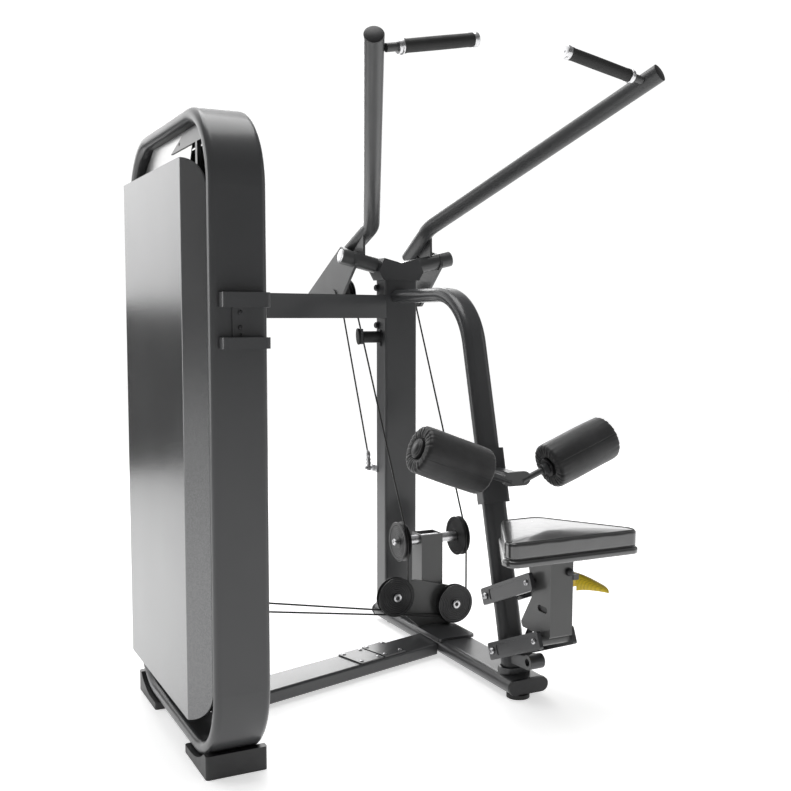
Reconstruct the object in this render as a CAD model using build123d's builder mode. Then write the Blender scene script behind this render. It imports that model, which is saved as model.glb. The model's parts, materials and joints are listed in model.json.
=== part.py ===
from build123d import *
import os
from math import acos, atan2, cos, degrees, hypot, radians, sin, tan

# Lat pulldown machine with diverging arms and a weight tower on the user's left.
# Frame: origin on the floor under the main post, X to the user's right, Y the way the user faces, Z up.

os.makedirs("parts", exist_ok=True)

# ---------------------------------------------------------------- driving dimensions, mm
TUBE_WALL = 3.0

TOWER_X0, TOWER_X1 = -985.0, -847.0
TOWER_MID_Y = -630.0
TOWER_HALF = 410.0
TOWER_LOW, TOWER_TOP = 20.0, 1600.0
RING_CORNER = 200.0
RING_WALL = 36.0
FOOT_NEAR, FOOT_FAR, FOOT_TOP = 155.0, 350.0, 58.0
FOOT_OVERHANG = 8.0

COVER_X = -1020.0
COVER_FLAT_HALF = 300.0
COVER_EDGE_X = -978.0
COVER_EDGE_HALF = 366.0
COVER_LOW, COVER_TOP = 138.0, 1470.0
SHEET = 3.0

STACK_X = -920.0
PLATE_X, PLATE_Y, PLATE_Z = 100.0, 330.0, 27.0
PLATE_PITCH = 28.0
STACK_LOW = 120.0
RESTING_COUNT, LIFTED_COUNT = 9, 6
ROD_HALF = 115.0
ROD_RADIUS = 11.0
CABLE = 3.0
STRAND_X = (-935.0, -905.0)

SKEW = 15.6
BEAM_LOW, BEAM_HIGH, BEAM_THICK = 1099.0, 1179.0, 60.0
FLOOR_BEAM_LOW, FLOOR_BEAM_HIGH, FLOOR_BEAM_WIDE = 10.0, 50.0, 120.0
FLOOR_BEAM_Y0 = -410.0

POST_X, POST_Y, POST_TOP = 124.0, 77.0, 1250.0
STOP_LONG = 73.0
BASE_WIDE, BASE_LOW, BASE_HIGH = 130.0, 12.0, 58.0
BASE_FRONT, BASE_REAR = -855.0, 60.0
FRONT_FOOT = (-20.0, -836.0)

HUB_TILT = 13.0
HUB_Z0 = 1264.0
HUB_IN, HUB_OUT = 86.0, 220.0
HUB_RADIUS, SHAFT_RADIUS = 27.0, 15.0
RUNNING = 0.05

ARM_RADIUS = 28.0
ARM_TOP = (474.0, -822.0, 1834.0)
ARM_BEND = (112.0, -33.0, 1416.0)
ARM_REAR = (128.0, 150.0, 1325.0)
ARM_BEND_RADIUS = 110.0
GRIP_IN = (427.0, -795.0, 1812.0)
GRIP_TIP = (147.0, -795.0, 1866.0)
GRIP_RADIUS = 19.0

LEVER_X = 168.0
LEVER_PULLEY = (123.0, 159.0, 1176.0)
LEVER_PULLEY_RADIUS = 62.0
PULLEY_THICK = 22.0
GROOVE_DEPTH = 12.0

STATION_X = 111.0
STATION_Y = -310.0
UPPER_PULLEY_RADIUS = 66.0
LOWER_PULLEY_RADIUS = 65.0
LOWER_GROOVE = 42.7
UPPER_PULLEY_Z = 353.0
LOWER_LEFT = (-157.0, 183.0)
LOWER_RIGHT = (65.0, 135.0)
ANCHOR = (-76.0, 62.0, 560.0)

SEAT_TUBE_X, SEAT_TUBE_Y = 78.0, 46.0
SEAT_TUBE_Z = 1175.0
SEAT_LEAN = 14.25
SEAT_CORNER_Y = -502.4
SEAT_BEND = 205.0

ROLLER_Y = -785.0
ROLLER_TILT = 20.7
ROLLER_IN, ROLLER_OUT = 112.0, 324.0
ROLLER_RADIUS = 69.0
ROLLER_Z0 = 616.0

LINK_P1 = (-722.0, 275.0)
LINK_P3 = (-764.0, 120.0)
LINK_REACH = (-214.0, 89.0)
LINK_X0, LINK_X1 = 50.0, 62.0
LINK_WIDE = 50.0
LUG = (-888.0, 116.0)
GAS_X = 22.0
GAS_FOOT = (-804.0, 142.0)

SEAT_TOP, SEAT_LOW = 516.0, 463.0
SEAT_BACK_Y, SEAT_NOSE_Y = -1090.0, -800.0
SEAT_HALF, SEAT_NOSE_HALF = 209.0, 62.0


def save(builder, label):
    builder.part.label = label
    export_step(builder.part, f"parts/{label}.step")


def mirror_x(point):
    return (-point[0], point[1], point[2])


def seat_tube_y(z):
    """Centre of the leaning seat tube at height z."""
    return SEAT_CORNER_Y - (SEAT_TUBE_Z - z) * tan(radians(SEAT_LEAN))


def hub_point(along, side=1):
    """Point on the pivot axis, measured from the centre plane."""
    t = radians(HUB_TILT)
    return (side * along * cos(t), 0.0, HUB_Z0 + along * sin(t))


def hub_plane(along, side=1):
    t = radians(HUB_TILT)
    return Plane(origin=hub_point(along, side), x_dir=(0, 1, 0), z_dir=(side * cos(t), 0, sin(t)))


def line_plane(start, end):
    """Plane at start whose normal points at end."""
    return Plane(origin=start, z_dir=tuple(Vector(*end) - Vector(*start)))


def length(start, end):
    return (Vector(*end) - Vector(*start)).length


def skewed(x):
    """Y of a beam line that leaves the post at the skew angle."""
    return x * tan(radians(SKEW))


# ---------------------------------------------------------------- weight tower
ring_mid_z = (TOWER_LOW + TOWER_TOP) / 2
ring_plane = Plane(origin=(TOWER_X0, TOWER_MID_Y, ring_mid_z), x_dir=(0, 1, 0), z_dir=(1, 0, 0))
with BuildPart() as ring_outer:
    with BuildSketch(ring_plane):
        RectangleRounded(2 * TOWER_HALF, TOWER_TOP - TOWER_LOW, RING_CORNER)
        offset(amount=-RING_WALL, mode=Mode.SUBTRACT)
    extrude(amount=TOWER_X1 - TOWER_X0)
    fillet(ring_outer.faces().filter_by(Axis.X).edges(), RING_WALL / 2 - 1)

with BuildPart() as tower_frame:
    add(ring_outer.part)
    with BuildSketch(ring_plane.offset(9)):
        RectangleRounded(2 * TOWER_HALF - 7, TOWER_TOP - TOWER_LOW - 7, RING_CORNER - 3.5)
        RectangleRounded(
            2 * (TOWER_HALF - RING_WALL) + 7,
            TOWER_TOP - TOWER_LOW - 2 * RING_WALL + 7,
            RING_CORNER - RING_WALL + 3.5,
            mode=Mode.SUBTRACT,
        )
    extrude(amount=TOWER_X1 - TOWER_X0 - 18, mode=Mode.SUBTRACT)
save(tower_frame, "tower_frame")

with BuildPart() as tower_feet:
    for side in (-1, 1):
        near = TOWER_MID_Y + side * (FOOT_NEAR + FOOT_FAR) / 2
        with BuildSketch(Plane.XY):
            with Locations(((TOWER_X0 + TOWER_X1) / 2, near)):
                RectangleRounded(TOWER_X1 - TOWER_X0 + 2 * FOOT_OVERHANG, FOOT_FAR - FOOT_NEAR, 8)
        extrude(amount=FOOT_TOP)
    with BuildSketch(ring_plane.offset(-20)):
        RectangleRounded(2 * TOWER_HALF, TOWER_TOP - TOWER_LOW, RING_CORNER)
    extrude(amount=TOWER_X1 - TOWER_X0 + 40, mode=Mode.SUBTRACT)
save(tower_feet, "tower_feet")


def bent_cover(outer_x, edge_x, flat_half, edge_half, low, high, corner):
    """Sheet cover: a flat middle with a flange folded back along each side and rounded corners."""
    with BuildPart() as cover:
        with BuildSketch(Plane.XY.offset(low)):
            with BuildLine():
                FilletPolyline(
                    (edge_x, TOWER_MID_Y - edge_half),
                    (outer_x, TOWER_MID_Y - flat_half),
                    (outer_x, TOWER_MID_Y + flat_half),
                    (edge_x, TOWER_MID_Y + edge_half),
                    radius=6,
                )
                offset(amount=SHEET / 2)
            make_face()
        extrude(amount=high - low)
        middle = (low + high) / 2
        outline = Plane(origin=(outer_x - 50, TOWER_MID_Y, middle), x_dir=(0, 1, 0), z_dir=(1, 0, 0))
        with BuildSketch(outline):
            RectangleRounded(2 * edge_half + 2, high - low, corner)
        extrude(amount=160, mode=Mode.INTERSECT)
    return cover


outer_cover = bent_cover(COVER_X, COVER_EDGE_X, COVER_FLAT_HALF, COVER_EDGE_HALF, COVER_LOW, COVER_TOP, 78)
save(outer_cover, "outer_cover")

# inner cover, on the user's side, with the slot for the selector pin and the corner cut for the cables
INNER_X = TOWER_X1 - 8
with BuildPart() as inner_cover:
    inner_plane = Plane(origin=(INNER_X, TOWER_MID_Y, ring_mid_z), x_dir=(0, 1, 0), z_dir=(1, 0, 0))
    with BuildSketch(inner_plane):
        RectangleRounded(2 * (TOWER_HALF - RING_WALL) - 2, TOWER_TOP - TOWER_LOW - 2 * RING_WALL - 2, 160)
        with Locations((0, 415 - ring_mid_z)):
            SlotOverall(640, 60, rotation=90, mode=Mode.SUBTRACT)
        with Locations((TOWER_HALF - 85, 300 - ring_mid_z)):
            Rectangle(120, 190, mode=Mode.SUBTRACT)
    extrude(amount=SHEET)
save(inner_cover, "inner_cover")

SHROUD_X = -954.0
with BuildPart() as upper_shroud:
    shroud_mid_z = (1372 + TOWER_TOP - RING_WALL) / 2
    shroud_plane = Plane(origin=(SHROUD_X, TOWER_MID_Y, shroud_mid_z), x_dir=(0, 1, 0), z_dir=(1, 0, 0))
    with BuildSketch(shroud_plane):
        shroud_top = TOWER_TOP - RING_WALL - 1 - shroud_mid_z
        shroud_low = 1372 - shroud_mid_z
        with BuildLine():
            Polyline(
                (-190, shroud_top),
                (TOWER_HALF - 190, shroud_top),
                (TOWER_HALF - 92, shroud_top - 50),
                (TOWER_HALF - 42, shroud_top - 140),
                (TOWER_HALF - 42, shroud_low),
                (-90, shroud_low),
                close=True,
            )
        make_face()
    extrude(amount=2)
save(upper_shroud, "upper_shroud")

ROD_LOW, ROD_TOP = 78.0, 1404.0
with BuildPart() as guide_rods:
    with BuildSketch(Plane.XY.offset(ROD_LOW)):
        with Locations((STACK_X, TOWER_MID_Y - ROD_HALF), (STACK_X, TOWER_MID_Y + ROD_HALF)):
            Circle(ROD_RADIUS)
            Circle(ROD_RADIUS - 3, mode=Mode.SUBTRACT)
    extrude(amount=ROD_TOP - ROD_LOW)
save(guide_rods, "guide_rods")

TOP_AXLE_Z = 1455.0
TOP_GROOVE = 45.0
REAR_AXLE_Y = TOWER_MID_Y + 320 - TOP_GROOVE
STACK_AXLE_Y = TOWER_MID_Y + TOP_GROOVE
with BuildPart() as tower_crosshead:
    # channel across the ring that holds the rod tops and the two pulley axles
    with BuildSketch(Plane.XY.offset(ROD_TOP - 16)):
        with Locations((STACK_X, TOWER_MID_Y)):
            Rectangle(60, 2 * (TOWER_HALF - RING_WALL))
    extrude(amount=8)
    for rod_y in (TOWER_MID_Y - ROD_HALF, TOWER_MID_Y + ROD_HALF):
        with BuildSketch(Plane.XY.offset(ROD_TOP - 30)):
            with Locations((STACK_X, rod_y)):
                Circle(ROD_RADIUS + 7)
        extrude(amount=14)
        with BuildSketch(Plane.XY.offset(ROD_TOP - 40)):
            with Locations((STACK_X, rod_y)):
                Circle(ROD_RADIUS + 0.1)
        extrude(amount=60, mode=Mode.SUBTRACT)
    with BuildSketch(Plane.XY.offset(ROD_TOP - 20)):
        with Locations((STACK_X, TOWER_MID_Y), (STACK_X, TOWER_MID_Y + 320)):
            Rectangle(50, 26)
    extrude(amount=20, mode=Mode.SUBTRACT)
    for axle_y in (REAR_AXLE_Y, STACK_AXLE_Y):
        for cheek_x in (STACK_X - 31, STACK_X + 28):
            cheek = Plane(origin=(cheek_x, axle_y, ROD_TOP - 12), x_dir=(0, 1, 0), z_dir=(1, 0, 0))
            with BuildSketch(cheek):
                with Locations((0, 38)):
                    RectangleRounded(34, 76, 8)
            extrude(amount=3)
        axle = Plane(origin=(STACK_X - 31, axle_y, TOP_AXLE_Z), x_dir=(0, 1, 0), z_dir=(1, 0, 0))
        with BuildSketch(axle):
            Circle(8)
        extrude(amount=62)
    # gusset plate in the upper near corner of the ring, with a small hole
    with BuildSketch(ring_plane.offset(28)):
        with BuildLine():
            Polyline(
                (-318, 1522 - ring_mid_z),
                (25, 1522 - ring_mid_z),
                (-120, 1562 - ring_mid_z),
                (-226, 1562 - ring_mid_z),
                close=True,
            )
        make_face()
        with Locations((-60, 1537 - ring_mid_z)):
            Circle(5, mode=Mode.SUBTRACT)
    extrude(amount=3)
    with BuildSketch(Plane.XY.offset(ROD_TOP - 12)):
        with Locations((TOWER_X0 + 33, TOWER_MID_Y - 215)):
            Rectangle(10, 16)
    extrude(amount=1536 - ROD_TOP + 12)
save(tower_crosshead, "tower_crosshead")

with BuildPart() as stack_bumpers:
    with BuildSketch(Plane.XY.offset(STACK_LOW - 34)):
        with Locations((STACK_X, TOWER_MID_Y - ROD_HALF), (STACK_X, TOWER_MID_Y + ROD_HALF)):
            Circle(24)
            Circle(ROD_RADIUS + 0.4, mode=Mode.SUBTRACT)
    extrude(amount=34)
save(stack_bumpers, "stack_bumpers")


def weight_plate(height, pinned):
    """One plate of the stack, with rod holes, a stem hole and the cross hole for the selector pin."""
    with BuildPart(mode=Mode.PRIVATE) as plate:
        with BuildSketch(Plane.XY.offset(height)):
            with Locations((STACK_X, TOWER_MID_Y)):
                RectangleRounded(PLATE_X, PLATE_Y, 6)
                Circle(14, mode=Mode.SUBTRACT)
            with Locations((STACK_X, TOWER_MID_Y - ROD_HALF), (STACK_X, TOWER_MID_Y + ROD_HALF)):
                Circle(ROD_RADIUS + 1, mode=Mode.SUBTRACT)
        extrude(amount=PLATE_Z)
        if pinned:
            hole = Plane(origin=(STACK_X, TOWER_MID_Y, height + PLATE_Z / 2), z_dir=(1, 0, 0))
            with BuildSketch(hole):
                Circle(6)
            extrude(amount=PLATE_X, mode=Mode.SUBTRACT)
    return plate.part


with BuildPart() as resting_plates:
    for index in range(RESTING_COUNT):
        add(weight_plate(STACK_LOW + index * PLATE_PITCH, True))
save(resting_plates, "resting_plates")

LIFTED_LOW = STACK_LOW + RESTING_COUNT * PLATE_PITCH
with BuildPart() as lifted_plates:
    for index in range(LIFTED_COUNT):
        add(weight_plate(LIFTED_LOW + index * PLATE_PITCH, True))
save(lifted_plates, "lifted_plates")

HEAD_LOW = LIFTED_LOW + LIFTED_COUNT * PLATE_PITCH
with BuildPart() as stack_head:
    # top plate with its rod bushes, the lifting yoke and the selector stem that hangs through the stack
    with BuildSketch(Plane.XY.offset(HEAD_LOW)):
        with Locations((STACK_X, TOWER_MID_Y)):
            RectangleRounded(PLATE_X, PLATE_Y, 6)
    extrude(amount=PLATE_Z)
    with BuildSketch(Plane.XY.offset(HEAD_LOW)):
        with Locations((STACK_X, TOWER_MID_Y - ROD_HALF), (STACK_X, TOWER_MID_Y + ROD_HALF)):
            Circle(ROD_RADIUS + 8)
        with Locations((STACK_X, TOWER_MID_Y)):
            Rectangle(60, 26)
    extrude(amount=PLATE_Z + 30)
    with BuildSketch(Plane.XY.offset(STACK_LOW + 2)):
        with Locations((STACK_X, TOWER_MID_Y)):
            Circle(12.5)
    extrude(amount=HEAD_LOW - STACK_LOW)
    with BuildSketch(Plane.XY.offset(HEAD_LOW - 5)):
        with Locations((STACK_X, TOWER_MID_Y - ROD_HALF), (STACK_X, TOWER_MID_Y + ROD_HALF)):
            Circle(ROD_RADIUS + 0.08)
    extrude(amount=PLATE_Z + 50, mode=Mode.SUBTRACT)
    for index in range(RESTING_COUNT + LIFTED_COUNT):
        pin_z = STACK_LOW + index * PLATE_PITCH + PLATE_Z / 2
        with BuildSketch(Plane(origin=(STACK_X - 20, TOWER_MID_Y, pin_z), z_dir=(1, 0, 0))):
            Circle(5 + RUNNING)
        extrude(amount=40, mode=Mode.SUBTRACT)
save(stack_head, "stack_head")

PIN_Z = LIFTED_LOW + PLATE_Z / 2
with BuildPart() as selector_pin:
    with BuildSketch(Plane(origin=(STACK_X - 10, TOWER_MID_Y, PIN_Z), z_dir=(1, 0, 0))):
        Circle(5)
    extrude(amount=72)
    with BuildSketch(Plane(origin=(STACK_X + 54, TOWER_MID_Y, PIN_Z), z_dir=(1, 0, 0))):
        Circle(13)
    extrude(amount=38)
    fillet(selector_pin.faces().sort_by(Axis.X)[-1].edges(), 5)
save(selector_pin, "selector_pin")


def pulley(centre, axis, outer, thick, bore, groove, recess=2.0):
    """Grooved cable pulley: two flanges around a rounded groove, a shallow web and a bore."""
    base = Plane(origin=centre, z_dir=axis)
    with BuildPart(mode=Mode.PRIVATE) as wheel:
        with BuildSketch(Plane.XZ):
            with BuildLine():
                Polyline(
                    (bore, -thick / 2),
                    (outer * 0.33, -thick / 2),
                    (outer * 0.40, -thick / 2 + recess),
                    (outer * 0.76, -thick / 2 + recess),
                    (outer * 0.80, -thick / 2),
                    (outer, -thick / 2),
                    (outer, -thick / 2 + 2.5),
                    (groove + 3.3, -4.4),
                )
                ThreePointArc((groove + 3.3, -4.4), (groove, 0), (groove + 3.3, 4.4))
                Polyline(
                    (groove + 3.3, 4.4),
                    (outer, thick / 2 - 2.5),
                    (outer, thick / 2),
                    (outer * 0.80, thick / 2),
                    (outer * 0.76, thick / 2 - recess),
                    (outer * 0.40, thick / 2 - recess),
                    (outer * 0.33, thick / 2),
                    (bore, thick / 2),
                    (bore, -thick / 2),
                )
            make_face()
        revolve(axis=Axis.Z)
    return base.location * wheel.part


# redirect pulleys low in the tower, one for each side's cable, and the bracket that carries them
REDIRECT_RADIUS = 52.0
REDIRECT_GROOVE = REDIRECT_RADIUS - GROOVE_DEPTH
REDIRECT = {
    "left": (STRAND_X[0] + REDIRECT_GROOVE + CABLE, -325.0, 318.0),
    "right": (STRAND_X[1] + REDIRECT_GROOVE + CABLE, -297.0, 270.0),
}
for name, centre in REDIRECT.items():
    with BuildPart() as redirect_pulley:
        add(pulley(centre, (0, 1, 0), REDIRECT_RADIUS, PULLEY_THICK, 8 + RUNNING, REDIRECT_GROOVE))
    save(redirect_pulley, f"redirect_pulley_{name}")

with BuildPart() as redirect_bracket:
    # folded bracket on the far column: the right pulley hangs on its back leaf, the left one on its front leaf
    for leaf_y, low in ((-257.0, 204.0), (-348.0, 204.0)):
        with BuildSketch(Plane.XZ.offset(-leaf_y)):
            with Locations((-895, low + 78)):
                RectangleRounded(80, 156, 6)
        extrude(amount=6)
    with BuildSketch(Plane.XY.offset(204)):
        with Locations((-895, -305.5)):
            Rectangle(80, 97)
    extrude(amount=6)
    for x, y, z, leaf in (REDIRECT["right"] + (-263.0,), REDIRECT["left"] + (-348.0,)):
        inward = 1 if leaf < y else -1
        with BuildSketch(Plane(origin=(x, leaf - inward, z), z_dir=(0, inward, 0))):
            Circle(8)
        extrude(amount=abs(leaf - y) + 12)
        with BuildSketch(Plane(origin=(x, leaf - inward, z), z_dir=(0, inward, 0))):
            Circle(13)
        extrude(amount=abs(leaf - y) + 1 - PULLEY_THICK / 2 - 0.5)
save(redirect_bracket, "redirect_bracket")

TOP_RADIUS = TOP_GROOVE + GROOVE_DEPTH - CABLE - 0.3
for name, axle_y in (("rear", REAR_AXLE_Y), ("stack", STACK_AXLE_Y)):
    with BuildPart() as top_pulleys:
        for strand_x in STRAND_X:
            wheel_at = (strand_x, axle_y, TOP_AXLE_Z)
            add(pulley(wheel_at, (1, 0, 0), TOP_RADIUS, PULLEY_THICK, 8 + RUNNING, TOP_GROOVE - 3.3))
    save(top_pulleys, f"top_pulleys_{name}")

HOLDER_Y = TOWER_MID_Y - TOWER_HALF
HOLDER_X, HOLDER_BODY = -916.5, 37.0
HOLDER_LEFT, HOLDER_RIGHT = -963.0, -856.0
with BuildPart() as holder_bracket:
    # two bent bands on a plate, screwed to the near column of the ring
    with BuildSketch(Plane(origin=(HOLDER_X, HOLDER_Y, 1093), x_dir=(1, 0, 0), z_dir=(0, -1, 0))):
        Rectangle(HOLDER_BODY, 120)
    extrude(amount=4)
    for band_z, tall in ((1141, 34), (1043, 26)):
        with BuildSketch(Plane.XY.offset(band_z - tall / 2)):
            with BuildLine():
                FilletPolyline(
                    (HOLDER_LEFT, HOLDER_Y - 3),
                    (HOLDER_LEFT, HOLDER_Y - 36),
                    (HOLDER_RIGHT, HOLDER_Y - 36),
                    (HOLDER_RIGHT, HOLDER_Y - 2),
                    radius=9,
                )
                offset(amount=3)
            make_face()
        extrude(amount=tall)
        with BuildSketch(Plane.XY.offset(band_z - tall / 2)):
            with Locations((HOLDER_X, HOLDER_Y - 19)):
                Rectangle(HOLDER_BODY, 30)
        extrude(amount=6)
    with BuildSketch(Plane(origin=(HOLDER_X, HOLDER_Y, 1062), z_dir=(0, -1, 0))):
        Circle(4)
    extrude(amount=10, mode=Mode.SUBTRACT)
save(holder_bracket, "holder_bracket")

# ---------------------------------------------------------------- main frame
with BuildPart() as upper_beam:
    # rectangular tube from the main post to the far column of the tower, with a plate at the tower end
    beam_end = Vector(TOWER_X1 - 7, skewed(TOWER_X1 - 7), 0)
    beam_start = Vector(-POST_X / 2 - 1, skewed(-POST_X / 2 - 1), 0)
    mid = (beam_end + beam_start) * 0.5
    with BuildSketch(Plane.XY.offset(BEAM_LOW)):
        with Locations(Location((mid.X, mid.Y), SKEW)):
            Rectangle((beam_start - beam_end).length + 40, BEAM_THICK)
            Rectangle((beam_start - beam_end).length + 60, BEAM_THICK - 2 * TUBE_WALL, mode=Mode.SUBTRACT)
    extrude(amount=BEAM_HIGH - BEAM_LOW)
    for level in (BEAM_LOW, BEAM_HIGH - TUBE_WALL):
        with BuildSketch(Plane.XY.offset(level)):
            with Locations(Location((mid.X, mid.Y), SKEW)):
                Rectangle((beam_start - beam_end).length + 40, BEAM_THICK)
        extrude(amount=TUBE_WALL)
    with BuildSketch(Plane.YZ.offset(-POST_X / 2)):
        with Locations((0, (BEAM_LOW + BEAM_HIGH) / 2)):
            Rectangle(300, 200)
    extrude(amount=120, mode=Mode.SUBTRACT)
    with BuildSketch(Plane.YZ.offset(TOWER_X1)):
        with Locations((skewed(TOWER_X1), (BEAM_LOW + BEAM_HIGH) / 2)):
            Rectangle(300, 200)
    extrude(amount=-120, mode=Mode.SUBTRACT)
    # saddle block that grips the far column of the ring
    with BuildSketch(Plane.YZ.offset(TOWER_X1 - 16)):
        with Locations((-223, (BEAM_LOW + BEAM_HIGH) / 2)):
            RectangleRounded(66, 130, 8)
    extrude(amount=24)
    add(ring_outer.part, mode=Mode.SUBTRACT)
save(upper_beam, "upper_beam")


def floor_beam_y(x):
    return FLOOR_BEAM_Y0 + skewed(x) + FLOOR_BEAM_WIDE / 2


with BuildPart() as base_beam:
    # floor beam, parallel to the upper beam, from the tower to the side of the base tube
    x_in, x_out = -BASE_WIDE / 2, TOWER_X1
    mid_x = (x_in + x_out) / 2
    with BuildSketch(Plane.XY.offset(FLOOR_BEAM_LOW)):
        with Locations(Location((mid_x, floor_beam_y(mid_x)), SKEW)):
            Rectangle(1000, FLOOR_BEAM_WIDE)
    extrude(amount=FLOOR_BEAM_HIGH - FLOOR_BEAM_LOW)
    fillet(base_beam.edges().filter_by(Axis.Z, reverse=True).filter_by(GeomType.LINE).group_by(SortBy.LENGTH)[-1], 8)
    with BuildSketch(Plane.XY.offset(FLOOR_BEAM_LOW + TUBE_WALL)):
        with Locations(Location((mid_x, floor_beam_y(mid_x)), SKEW)):
            Rectangle(1010, FLOOR_BEAM_WIDE - 2 * TUBE_WALL)
    extrude(amount=FLOOR_BEAM_HIGH - FLOOR_BEAM_LOW - 2 * TUBE_WALL, mode=Mode.SUBTRACT)
    with BuildSketch(Plane.YZ.offset(x_in - 1)):
        Rectangle(2400, 400)
    extrude(amount=400, mode=Mode.SUBTRACT)
    with BuildSketch(Plane.YZ.offset(x_out + 2)):
        Rectangle(2400, 400)
    extrude(amount=-400, mode=Mode.SUBTRACT)
    # saddle block that grips the lower member of the ring
    with BuildSketch(Plane.YZ.offset(x_out - 16)):
        with Locations((floor_beam_y(x_out), 34)):
            Rectangle(190, 46)
    extrude(amount=22)
    add(ring_outer.part, mode=Mode.SUBTRACT)
save(base_beam, "base_beam")

with BuildPart() as beam_plates:
    # two screwed cover plates on top of the floor beam, the second one stepped up
    for centre_x, long, step in ((-345, 92, 4), (-255, 88, 6)):
        with BuildSketch(Plane.XY.offset(FLOOR_BEAM_HIGH)):
            with Locations(Location((centre_x, floor_beam_y(centre_x)), SKEW)):
                RectangleRounded(long, FLOOR_BEAM_WIDE - 6, 4)
        extrude(amount=step)
save(beam_plates, "beam_plates")

with BuildPart() as base_tube:
    # flat-oval tube along the floor on the centre plane, with the stepped saddle over its junction
    base_mid_z = (BASE_LOW + BASE_HIGH) / 2
    with BuildSketch(Plane(origin=(0, BASE_FRONT, base_mid_z), x_dir=(1, 0, 0), z_dir=(0, 1, 0))):
        SlotOverall(BASE_WIDE, BASE_HIGH - BASE_LOW)
        SlotOverall(BASE_WIDE - 2 * TUBE_WALL, BASE_HIGH - BASE_LOW - 2 * TUBE_WALL, mode=Mode.SUBTRACT)
    extrude(amount=BASE_REAR - BASE_FRONT)
    with BuildSketch(Plane.XY.offset(BASE_HIGH - 2)):
        with Locations((0, -350)):
            RectangleRounded(132, 190, 10)
    extrude(amount=10)
    with BuildSketch(Plane.XY.offset(BASE_HIGH - 6)):
        with Locations((0, seat_tube_y(70))):
            SlotOverall(SEAT_TUBE_X + 22, SEAT_TUBE_Y + 24)
            SlotOverall(SEAT_TUBE_X + 8, SEAT_TUBE_Y + 12, mode=Mode.SUBTRACT)
    extrude(amount=24)
save(base_tube, "base_tube")

with BuildPart() as base_tube_caps:
    for start, outwards in ((BASE_FRONT, -1), (BASE_REAR, 1)):
        with BuildSketch(Plane(origin=(0, start, base_mid_z), x_dir=(1, 0, 0), z_dir=(0, outwards, 0))):
            SlotOverall(BASE_WIDE + 4, BASE_HIGH - BASE_LOW)
        extrude(amount=9, taper=8)
save(base_tube_caps, "base_tube_caps")

with BuildPart() as base_feet:
    for foot_x, foot_y in (FRONT_FOOT, (0.0, 0.0)):
        with BuildSketch(Plane.XY):
            with Locations((foot_x, foot_y)):
                Circle(34)
        extrude(amount=BASE_LOW)
save(base_feet, "base_feet")

with BuildPart() as main_post:
    with BuildSketch(Plane.XY.offset(BASE_HIGH)):
        RectangleRounded(POST_X, POST_Y, 8)
        RectangleRounded(POST_X - 2 * TUBE_WALL, POST_Y - 2 * TUBE_WALL, 5, mode=Mode.SUBTRACT)
    extrude(amount=POST_TOP - BASE_HIGH)
    with BuildSketch(Plane.XY.offset(BASE_HIGH)):
        RectangleRounded(POST_X + 5, POST_Y + 14, 12)
    extrude(amount=10)
    # stop stub with its pad plate on the left side, under the upper beam
    with BuildSketch(Plane.YZ.offset(-POST_X / 2)):
        with Locations((8, 1030)):
            Rectangle(26, 58)
    extrude(amount=-5)
    with BuildSketch(Plane(origin=(-POST_X / 2, 3, 1033), z_dir=(-1, 0, 0))):
        Circle(16)
    extrude(amount=STOP_LONG)
    with BuildSketch(Plane.YZ.offset(-POST_X / 2 - STOP_LONG)):
        with Locations((2, 1035)):
            RectangleRounded(28, 54, 4)
    extrude(amount=-8)
save(main_post, "main_post")

with BuildPart() as head_bracket:
    # saddle plate over the post with a shallow V, and the two pivot shafts it carries
    with BuildSketch(Plane.XZ.offset(-42)):
        with BuildLine():
            Polyline(
                (-70, POST_TOP - 18),
                (70, POST_TOP - 18),
                (87, POST_TOP + 12),
                (66, POST_TOP + 58),
                (0, POST_TOP + 42),
                (-66, POST_TOP + 58),
                (-87, POST_TOP + 12),
                close=True,
            )
        make_face()
    extrude(amount=84)
    with BuildSketch(Plane.XY.offset(POST_TOP - 30)):
        RectangleRounded(POST_X + 0.4, POST_Y + 0.4, 8)
    extrude(amount=30, mode=Mode.SUBTRACT)
    for side in (-1, 1):
        with BuildSketch(hub_plane(60, side)):
            Circle(SHAFT_RADIUS)
        extrude(amount=HUB_OUT - 12 - 60)
        with BuildSketch(hub_plane(60, side)):
            Circle(22)
        extrude(amount=HUB_IN - 0.5 - 60)
save(head_bracket, "head_bracket")

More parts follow.
